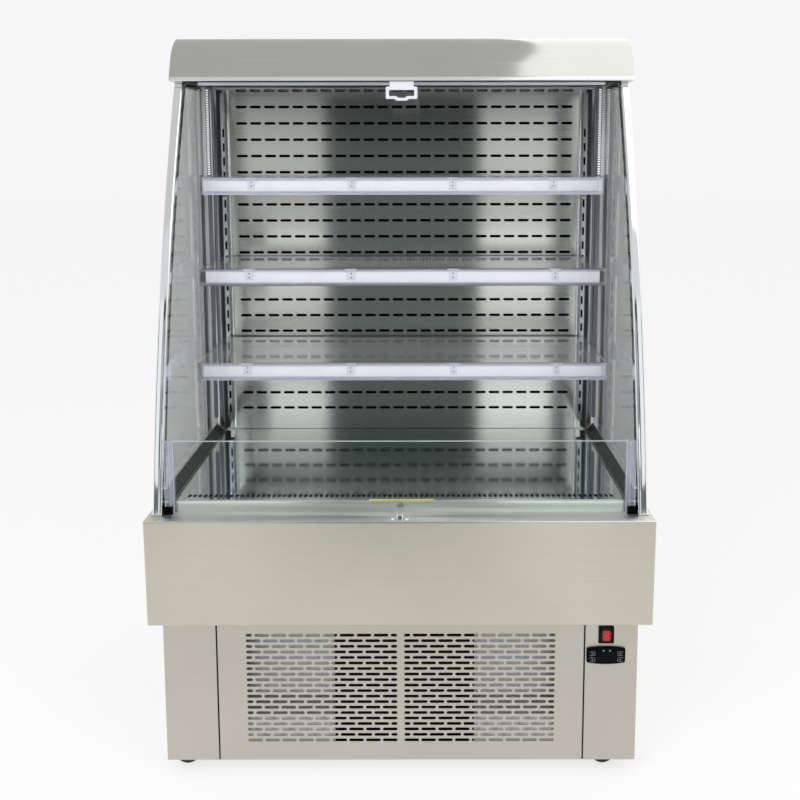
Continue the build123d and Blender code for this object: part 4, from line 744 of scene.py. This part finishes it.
def make_led_strips():
    """White upright bar on each post, and beside it a strip with a row of small lights."""
    low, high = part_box("led_strips")
    shelf_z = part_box("shelf_top")[1].z
    top, pitch = high.z + 14 * MM, 5.6 * MM
    first, middle = top - 8 * MM, high.x - 6.5 * MM
    half_width, half_height = 2.9 * MM, 1.2 * MM
    count = int((first - shelf_z) / pitch) + 1
    for side, name in SIDES:
        bar = side_block(f"led_bar_{name}", side, (high.x - 1.7 * MM, high.x + 1.5 * MM),
                         (low.y - 3 * MM, high.y), (shelf_z, top), 0.6 * MM)
        finish_piece(bar, "edge_white", replaces=["led_strips"])
        tape = side_block(f"led_tape_{name}", side, (high.x - 11 * MM, high.x - 2 * MM),
                          (low.y, high.y), (low.z, top), 0.8 * MM)
        finish_piece(tape, "tape_grey", replaces=["led_strips"])
        dots = []
        for z in [first - k * pitch for k in range(count)]:
            dots.append(side_block("dot", side, (middle - half_width, middle + half_width),
                                   (low.y - 0.5 * MM, low.y + 0.6 * MM), (z - half_height, z + half_height)))
        finish_piece(joined(f"led_dots_{name}", dots), "led_dots",
                     replaces=["led_strips"])


# Curtain

def make_curtain_bar():
    """Lower bar with its grooves, and the cap at each end."""
    low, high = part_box("curtain_bar")
    foot, top, back, cap = 4.6, (high.z - low.z) / MM, (high.y - low.y) / MM, 2 * MM
    section = [(0, foot + 1.2), (1.2, foot), (back - 1.2, foot), (back, foot + 1.2), (back, top - 1),
               (back - 1, top), (1, top), (0, top - 1), (0, 8.6), (0.9, 8.2), (0.9, 7.4), (0, 7.0)]
    bar = extruded("curtain_bar_profile", [(low.y + y * MM, low.z + z * MM) for y, z in section],
                   low.x + cap, high.x - cap)
    finish_piece(bar, "bar_aluminium", body="curtain", replaces=["curtain_bar"])
    caps = [block("cap", (x, low.y, low.z + foot * MM), (x + cap, high.y, high.z), 0.5 * MM)
            for x in (low.x, high.x - cap)]
    finish_piece(joined("curtain_bar_caps", caps), "grey_plastic", body="curtain",
                 replaces=["curtain_bar"])


def make_curtain_cloth():
    """The cloth between the roller and the bar, as one fixed strip tied to no body; the real cloth runs off
    the roll as the bar comes down.
    """
    low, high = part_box("curtain_fabric")
    bar_low, bar_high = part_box("curtain_bar")
    start = Vector((0, (bar_low.y + bar_high.y) / 2, (bar_low.z + bar_high.z) / 2))
    end = Vector((0, high.y, high.z))
    run = end - start
    steps, columns, thickness, hem = 24, 60, 0.6 * MM, 0.06
    outward = Vector((0, -run.z, run.y)).normalized()
    row = [low.x + (high.x - low.x) * j / columns for j in range(columns + 1)]
    points = []
    for i in range(steps + 1):
        front = start + run * (hem + (1 - hem) * i / steps)
        back = front + outward * thickness
        points += [(x, front.y, front.z) for x in row] + [(x, back.y, back.z) for x in reversed(row)]
    size = 2 * len(row)
    faces = ring_faces(steps + 1, size)[:-2]
    for first in (0, steps * size):
        last = first + size - 1
        faces += [(first + j, first + j + 1, last - j - 1, last - j) for j in range(columns)]
    cloth = add_object("curtain_cloth_strip", mesh_from("cloth", points, faces))
    cloth.data.materials.append(finishes["curtain_cloth"])
    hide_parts("curtain_fabric")
    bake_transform(cloth)


def make_catch():
    """Bent hook on the lip between two white bumpers."""
    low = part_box("curtain_catch")[0]
    middle_y, foot, radius, overlap = low.y + 4 * MM, low.z, 1.3, 0.6
    path = [(-5.2, 0.0), (-5.2, 11.5), (-3.6, 13.2), (3.6, 13.2), (5.2, 11.5), (5.2, 0.0)]
    corners = [Vector((x * MM, middle_y, foot + z * MM)) for x, z in path]
    pieces = []
    for start, end in zip(corners, corners[1:]):
        along = end - start
        length = along.length / MM
        turn = along.to_track_quat("Z", "Y").to_matrix().to_4x4()
        pieces.append(turned("wire", [(0, -overlap), (radius, -0.4), (radius, length + 0.4),
                                      (0, length + overlap)], Matrix.Translation(start) @ turn, 12))
    pieces.append(block("plate", (-7 * MM, middle_y - 2 * MM, foot),
                        (7 * MM, middle_y + 22 * MM, foot + 1.5 * MM), 0.4 * MM))
    finish_piece(joined("curtain_catch_hook", pieces), "polished_steel", replaces=["curtain_catch"])
    bumpers = [turned("bumper", [(0, 0), (4.4, 0), (4.4, 1.8), (3.6, 3.0), (2.0, 3.6), (0, 3.7)],
                      Matrix.Translation((x, middle_y + 4 * MM, foot)), 24) for x in (-13.5 * MM, 13.5 * MM)]
    finish_piece(joined("curtain_catch_bumpers", bumpers), "white_plastic", replaces=["curtain_catch"])


# Deck, lip and canopy

def make_air_return():
    """Slotted cover of the air return, with a black sheet of painted shade below its slots, and a bright
    strip along its front as a painted highlight.
    """
    low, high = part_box("air_return_grille")
    count, pitch, width, length = 81, 10.65 * MM, 6.4 * MM, 17 * MM
    middle_y = (low.y + high.y) / 2
    holes = [square_slot((i - (count - 1) / 2) * pitch, middle_y, width, length) for i in range(count)]
    sheet = pierced_sheet("air_return_slotted", rectangle(low.x, high.x, low.y, high.y), holes, 0.6 * MM,
                          on_z(high.z))
    finish_piece(sheet, "mirror_steel", replaces=["air_return_grille"])
    # A black sheet of painted shade below the slots
    set_in = 8 * MM
    void = block("air_return_painted_shade", (low.x + set_in, low.y + set_in, high.z - 3 * MM),
                 (high.x - set_in, high.y - set_in, high.z - 0.7 * MM), 0.2 * MM)
    finish_piece(void, "black_foot_and_painted_shade")
    # A thin bright strip along the front edge: a painted highlight
    edge_highlight = block("air_return_edge_highlight", (low.x + 2 * MM, low.y - 0.4 * MM, high.z - 1.6 * MM),
                 (high.x - 2 * MM, low.y + 1.2 * MM, high.z + 0.3 * MM), 0.5 * MM)
    finish_piece(edge_highlight, "painted_highlight_steel")


def make_marker_strip():
    """Thin plain strip stuck on the front edge of the air return."""
    low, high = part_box("air_return_grille")
    left, right = -62 * MM, 68 * MM
    strip = block("air_return_marker", (left, low.y - 0.5 * MM, high.z - 1.4 * MM),
                  (right, low.y + 3 * MM, high.z + 0.4 * MM))
    finish_piece(strip, "yellow_strip")


def make_lip_sheet():
    """Cover on the tub's lip in a brighter copy of the tub's steel as painted light, its rounded front edge
    as a painted highlight, and the face of the air return.
    """
    tub_low, tub_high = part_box("tub_body")
    low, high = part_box("air_return_grille")
    frame_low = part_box("side_frame_right")[0]
    half, top, face_y = frame_low.x - 1.5 * MM, frame_low.z, low.y - 0.5 * MM
    cover, thickness = top + 0.3 * MM, 0.4 * MM
    # The lip's cover: a brighter copy of the tub steel, painting the light on the lip's top
    sheet = extruded("tub_lip_sheet", bent([(tub_low.y + 2.4 * MM, cover), (face_y, cover)], thickness),
                     -half, half)
    finish_piece(sheet, "painted_light_lip_steel")
    face = extruded("air_return_face", bent([(face_y, cover), (face_y, high.z - 2 * MM)], thickness),
                    -half, half)
    finish_piece(face, "face_steel")
    # The rounded front edge in bright steel: a painted highlight line
    steps, radius, edge_half = 12, 1.3 * MM, tub_high.x - 1.5 * MM
    middle_y, middle_z = tub_low.y + 0.8 * MM + radius, top - 0.2 * MM
    section = [(middle_y - radius * math.cos(k * math.pi / steps),
                middle_z + radius * math.sin(k * math.pi / steps)) for k in range(steps + 1)]
    edge = extruded("tub_lip_edge", section, -edge_half, edge_half, 60)
    finish_piece(edge, "painted_highlight_steel")


def make_canopy_details():
    """Hem along the canopy's lip, in a brighter copy of the canopy steel as a painted highlight, and the
    black seals under its ends.
    """
    low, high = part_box("canopy_cover")
    rise = 10 * MM
    lean = rise * math.tan(math.radians(25.5))
    section = [(low.y - 0.2 * MM, low.z), (low.y - 1.2 * MM + 0.35 * lean, low.z + 0.55 * rise),
               (low.y + lean - 0.1 * MM, low.z + rise), (low.y + lean + 1 * MM, low.z + rise),
               (low.y + 1 * MM, low.z)]
    # The hem's bright steel is a painted highlight
    hem = extruded("canopy_hem", section, low.x + 0.3 * MM, high.x - 0.3 * MM, 50)
    finish_piece(hem, "painted_highlight_hem_steel")
    bar_end, frame_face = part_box("curtain_bar")[1].x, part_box("side_frame_right")[0].x
    for side, name in SIDES:
        seal = side_block(f"canopy_seal_{name}", side, (bar_end, frame_face - 0.3 * MM),
                          (low.y + 12 * MM, low.y + 60 * MM), (low.z - 3 * MM, low.z + 5 * MM), 0.8 * MM)
        finish_piece(seal, "rubber_seal_and_painted_shadow")


# Cabinet

def make_front_grille():
    """The cabinet's front panel, with two fields of round-ended slots and folded sides."""
    low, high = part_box("front_grille")
    rows, columns = 20, 9
    pitch, row_pitch, gap, middle_z = 34.25 * MM, 11.85 * MM, 14 * MM, 190.8 * MM
    width, height, short = 30 * MM, 6.2 * MM, 12.6 * MM
    field = (columns - 1) * pitch + width
    end = (field - short) / 2
    holes = []
    for side in (-1, 1):
        middle = side * (gap + field) / 2
        for row in range(rows):
            z = middle_z + (row - (rows - 1) / 2) * row_pitch
            whole = columns - row % 2
            holes += [rounded_slot(middle + (i - (whole - 1) / 2) * pitch, z, width, height)
                      for i in range(whole)]
            if whole < columns:
                holes += [rounded_slot(middle + x, z, short, height) for x in (-end, end)]
    sheet = front_sheet(low, high, holes)
    folds = [block("fold", (x, low.y, low.z), (x + SHEET, high.y, high.z)) for x in (low.x, high.x - SHEET)]
    finish_piece(joined("front_grille_panel", [sheet, *folds]), "brushed_steel", replaces=["front_grille"])


def make_seam_shades():
    """Black strips of painted shade that close the seams beside the front panel."""
    low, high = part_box("front_grille")
    for side, name in SIDES:
        # Black strips of painted shade in the seams
        strip = side_block(f"seam_painted_shade_{name}", side, (high.x + 0.05 * MM, high.x + 2.95 * MM),
                           (low.y + 1.5 * MM, high.y), (low.z, high.z - 0.2 * MM))
        finish_piece(strip, "black_foot_and_painted_shade")


def make_baffles():
    """Galvanised plates beside the coil, and a black strip of painted shade over the base rail below it."""
    front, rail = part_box("base_frame")[0].y - 0.7 * MM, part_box("base_frame")[0].z + 1 * MM
    shroud_low, shroud_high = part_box("condenser_shroud")
    coil_low, coil_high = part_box("condenser_coil")
    line = [(front, rail), (front, rail + 61 * MM), (shroud_low.y - 1.2 * MM, rail + 83 * MM)]
    for name, x0, x1 in (("left", -shroud_high.x, coil_low.x), ("right", coil_high.x, shroud_high.x)):
        plate = extruded(f"intake_baffle_{name}", bent(line, 0.6 * MM), x0, x1)
        finish_piece(plate, "galvanised_steel")
    # A black strip of painted shade over the base rail
    strip = block("intake_painted_shade", (coil_low.x, front - 0.4 * MM, rail),
                  (coil_high.x, front + 0.4 * MM, rail + 29 * MM), 0.2 * MM)
    finish_piece(strip, "black_foot_and_painted_shade")


def make_controller():
    """Bulged bezel with rounded ends, a smooth window and two dots."""
    low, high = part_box("controller_housing")
    middle, centre = (low.x + high.x) / 2, (low.z + high.z) / 2 + 0.9 * MM
    half, corner, crown, round_end = 39 * MM, 15.2 * MM, 18.2 * MM, 3.5 * MM
    front, back = low.y + 0.6 * MM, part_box("side_panel_right")[0].y - 0.4 * MM
    steps = 14
    bend = [(half - round_end + round_end * math.sin(k * math.pi / steps),
             corner - round_end + round_end * math.cos(k * math.pi / steps)) for k in range(1, steps // 2)]
    border = []
    for up in (1, -1):
        border += [(-up * x, up * z) for x, z in reversed(bend)]
        for k in range(25):
            t = k / 12 - 1
            border.append((up * t * (half - round_end), up * (corner + (crown - corner) * (1 - t * t))))
        border += [(up * x, up * z) for x, z in bend]
    rings = []
    for wide, tall, y in ((1.0, 1.0, back), (1.0, 1.0, front + 2.4 * MM), (0.985, 0.985, front + 0.9 * MM),
                          (0.955, 0.93, front)):
        rings += [(middle + x * wide, y, centre + z * tall) for x, z in border]
    bezel = add_object("controller_bezel", mesh_from("bezel", rings, ring_faces(4, len(border))), 40)
    finish_piece(bezel, "black_gloss", replaces=["controller_housing"])
    window = block("controller_window", (middle - 20 * MM, front - 0.25 * MM, centre - 11 * MM),
                   (middle + 20 * MM, front + 0.5 * MM, centre + 9 * MM), 0.2 * MM)
    finish_piece(window, "window_black", replaces=["controller_housing"])
    dots = [turned("dot", [(0, 0), (2.0, 0), (2.0, 0.2), (0, 0.3)],
                   Matrix.Translation((middle + x, front, centre + 11 * MM)) @ TO_FRONT, 20)
            for x in (-5.5 * MM, 7.5 * MM)]
    finish_piece(joined("controller_dots", dots), "dot_grey",
                 replaces=["controller_housing"])


def make_key_outlines():
    """Thin printed outline and dot on each key, riding on its own key; it opens to the bezel's end."""
    line, inset = 0.7 * MM, 0.6 * MM
    for number in range(1, 5):
        low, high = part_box(f"controller_key_{number}")
        x0, x1, z0, z1 = low.x + inset, high.x - inset, low.z + inset, high.z - inset
        upright = x1 - line if number <= 2 else x0
        pieces = [block("bar", (left, low.y - 0.25 * MM, foot), (right, low.y + 0.2 * MM, top))
                  for left, right, foot, top in ((x0, x1, z0, z0 + line), (x0, x1, z1 - line, z1),
                                                 (upright, upright + line, z0, z1))]
        place = Matrix.Translation(((low.x + high.x) / 2, low.y + 0.1 * MM, (low.z + high.z) / 2))
        pieces.append(turned("mark", [(0, 0), (1.3, 0), (1.3, 0.35), (0, 0.45)], place @ TO_FRONT, 16))
        finish_piece(joined(f"key_outline_{number}", pieces), "dot_grey", body=f"key_{number}")


def make_switch_boot():
    """Clear soft boot over the rocker: an outer and an inner skin that meet at the rim."""
    low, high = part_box("switch_housing")
    middle, centre = (low.x + high.x) / 2, (low.z + high.z) / 2
    half_x, half_z, height, wall = 10.5 * MM, 14.5 * MM, 7.5 * MM, 0.7 * MM
    levels, around, squareness = 8, 40, 0.6
    points = []
    skins = [(wall, level) for level in reversed(range(levels))] + [(0, level) for level in range(levels)]
    for inset, level in skins:
        turn = math.pi / 2 * level / levels
        spread, rise = math.cos(turn) ** 0.5, math.sin(turn)
        for k in range(around):
            x, z = (math.copysign(abs(c) ** squareness, c)
                    for c in (math.cos(2 * math.pi * k / around), math.sin(2 * math.pi * k / around)))
            points.append((middle + (half_x - inset) * spread * x, low.y - (height - inset) * rise,
                           centre + (half_z - inset) * spread * z))
    tip = len(points)
    points += [(middle, low.y - height + wall, centre), (middle, low.y - height, centre)]
    faces = ring_faces(2 * levels, around)[:-2]
    last = tip - around
    for k in range(around):
        n = (k + 1) % around
        faces += [(n, k, tip), (last + k, last + n, tip + 1)]
    boot = add_object("switch_boot", mesh_from("boot", points, faces), 60)
    finish_piece(boot, "boot_clear")


# Camera, lights and stage

def make_camera():
    """Eye-level camera in front of the case, a little right of its middle."""
    data = bpy.data.cameras.new("camera")
    data.lens, data.sensor_width = 47.935, 36.0
    data.shift_x, data.shift_y = -0.0314, -0.1203
    camera = linked_object("camera", data)
    camera.location = (0.0505, -2.3427, 1.2584)
    tilt_down, roll = 0.1388, 0.0012
    camera.rotation_euler = (math.pi / 2 - tilt_down, roll, 0.0)
    bpy.context.scene.camera = camera


PALE = (0.922, 0.922, 0.924)


def seen_directly(tree):
    """1 for what the camera sees straight, in metal or through glass, and 0 for plain light."""
    path = add_node(tree, "ShaderNodeLightPath")
    seen = path.outputs["Is Camera Ray"]
    for kind in ("Is Glossy Ray", "Is Transmission Ray"):
        larger = add_node(tree, "ShaderNodeMath", operation="MAXIMUM")
        tree.links.new(seen, larger.inputs[0])
        tree.links.new(path.outputs[kind], larger.inputs[1])
        seen = larger.outputs["Value"]
    return seen


def mixed_output(tree, factor, first, second, output):
    """Joins two shaders by a factor, into the tree's output."""
    mix = add_node(tree, "ShaderNodeMixShader")
    for link, socket in ((factor, "Fac"), (first, 1), (second, 2)):
        tree.links.new(link, mix.inputs[socket])
    tree.links.new(mix.outputs["Shader"], tree.nodes[output].inputs["Surface"])


def make_world():
    """Soft even light, and a pale surround for what shows it."""
    world = bpy.data.worlds.new("studio")
    bpy.context.scene.world = world
    world.use_nodes = True
    tree = world.node_tree
    light = tree.nodes["Background"]
    light.inputs["Color"].default_value = (0.97, 0.985, 1.0, 1)
    light.inputs["Strength"].default_value = 0.62
    surround = add_node(tree, "ShaderNodeBackground", Strength=1.0)
    surround.inputs["Color"].default_value = (*PALE, 1)
    mixed_output(tree, seen_directly(tree), light.outputs["Background"], surround.outputs["Background"],
                 "World Output")


def stage_material(name):
    """A material of its own making, with nothing joined to its output yet."""
    material = bpy.data.materials.new(name)
    material.use_nodes = True
    tree = material.node_tree
    tree.nodes.remove(tree.nodes["Principled BSDF"])
    return material, tree


def make_floor():
    """Wide pale floor that keeps a soft shadow."""
    material, tree = stage_material("floor")
    paint = add_node(tree, "ShaderNodeBsdfDiffuse")
    paint.inputs["Color"].default_value = (0.85, 0.85, 0.85, 1)
    glow = add_node(tree, "ShaderNodeEmission", Strength=1.16)
    share = add_node(tree, "ShaderNodeMath", operation="MULTIPLY")
    share.inputs[1].default_value = 0.62
    tree.links.new(seen_directly(tree), share.inputs[0])
    mixed_output(tree, share.outputs["Value"], paint.outputs["BSDF"], glow.outputs["Emission"],
                 "Material Output")
    size = 30.0
    points = [(x, y, 0) for x, y in rectangle(-size, size, -size, size)]
    floor = add_object("floor", mesh_from("floor", points, [(0, 1, 2, 3)]))
    floor.data.materials.append(material)


def make_card(name, corners, color, strength):
    """A studio card that only polished surfaces see."""
    material, tree = stage_material(name)
    glow = add_node(tree, "ShaderNodeEmission", Strength=strength)
    glow.inputs["Color"].default_value = (*color, 1)
    tree.links.new(glow.outputs["Emission"], tree.nodes["Material Output"].inputs["Surface"])
    card = add_object(name, mesh_from(name, corners, [(0, 1, 2, 3)]))
    card.data.materials.append(material)
    card.visible_camera = False
    card.visible_diffuse = False
    card.visible_transmission = False
    card.visible_shadow = False


def upright_card(name, x0, x1, z0, z1, y, color, strength=1.0):
    make_card(name, [(x, y, z) for x, z in rectangle(x0, x1, z0, z1)], color, strength)


def level_card(name, corners, z, color, strength):
    make_card(name, [(x, y, z) for x, y in corners], color, strength)


def make_cards():
    """A dim hall behind the camera with bright openings, and a ceiling that is bright at the right."""
    dark, light = (0.080, 0.096, 0.092), (0.90, 0.92, 0.92)
    half, roof = 4.0, 3.3
    wall, front, screen = -2.75, -2.70, -1.2
    upright_card("hall_wall_low", -half, half, 0.0, 1.35, wall, dark, 1.45)
    upright_card("hall_wall_high", -half, half, 1.35, roof, wall, dark, 0.40)
    panes = ((0.36, 0.60, 0.72), (0.60, 0.68, 0.80), (0.68, 0.775, 0.48), (0.775, 0.95, 1.22),
             (0.95, 1.12, 0.42), (1.12, 1.30, 0.64), (1.30, 1.45, 0.50))
    for number, (z0, z1, strength) in enumerate(panes, 1):
        outer = 0.56 if strength > 0.9 else 0.64
        upright_card(f"screen_left_{number}", -outer, -0.33, z0, z1, screen, light, strength)
        upright_card(f"screen_right_{number}", 0.26, 0.54, z0, z1, screen, light, 1.2 * strength)
    sill, head = 0.85, 2.45
    upright_card("window_left", -2.4, -0.97, sill, head, front, light)
    upright_card("window_right", 0.83, 2.4, sill, head, front, light)
    upright_card("transom", -half, half, head, roof, front, light, 0.8)
    level_card("hall_floor", rectangle(-0.44, 0.33, -2.7, -2.05), 0.002, dark, 1.0)
    near, far, left, right, ceiling = -3.2, 6.0, -6.0, 6.0, 3.4
    split, split_far = 0.42, 0.60
    level_card("ceiling_dim", [(left, near), (split, near), (split_far, far), (left, far)], ceiling,
               (0.62, 0.62, 0.60), 1.0)
    level_card("ceiling_bright", [(split, near), (right, near), (right, far), (split_far, far)], ceiling,
               (1.0, 1.0, 0.97), 1.45)


def make_lamp(name, location, target, size, power):
    """A large soft lamp aimed at a point."""
    data = bpy.data.lights.new(name, "AREA")
    data.shape = "RECTANGLE"
    data.size, data.size_y = size
    data.energy = power
    lamp = linked_object(name, data)
    lamp.location = location
    lamp.rotation_euler = (Vector(target) - Vector(location)).to_track_quat("-Z", "Y").to_euler()
    lamp.visible_glossy = False


# The dressed case

finish_cad_nodes()
for side, name in SIDES:
    make_side_frame(side, name)
    make_side_glass(side, name)
    make_riser_post(side, name)
    make_standard(side, name)
    make_glass_channel(side, name)
make_riser_pane()
make_air_return()
make_lip_sheet()
make_baffles()
make_canopy_details()
make_seam_shades()
make_controller()
make_key_outlines()
make_switch_boot()
make_catch()
make_front_grille()
make_back_panel()
for name in ("top", "middle", "bottom"):
    make_shelf(name)
    make_price_rail(name)
    make_rail_clips(name)
make_curtain_bar()
make_curtain_cloth()
make_led_strips()
make_marker_strip()

make_camera()
make_world()
make_floor()
make_cards()
make_lamp("key", (-1.8, -3.2, 3.0), (0, 0, 0.8), (2.4, 2.0), 60)
make_lamp("fill", (2.2, -2.6, 2.2), (0, 0, 0.8), (2.0, 2.0), 25)
bpy.context.scene.view_settings.view_transform = "Standard"
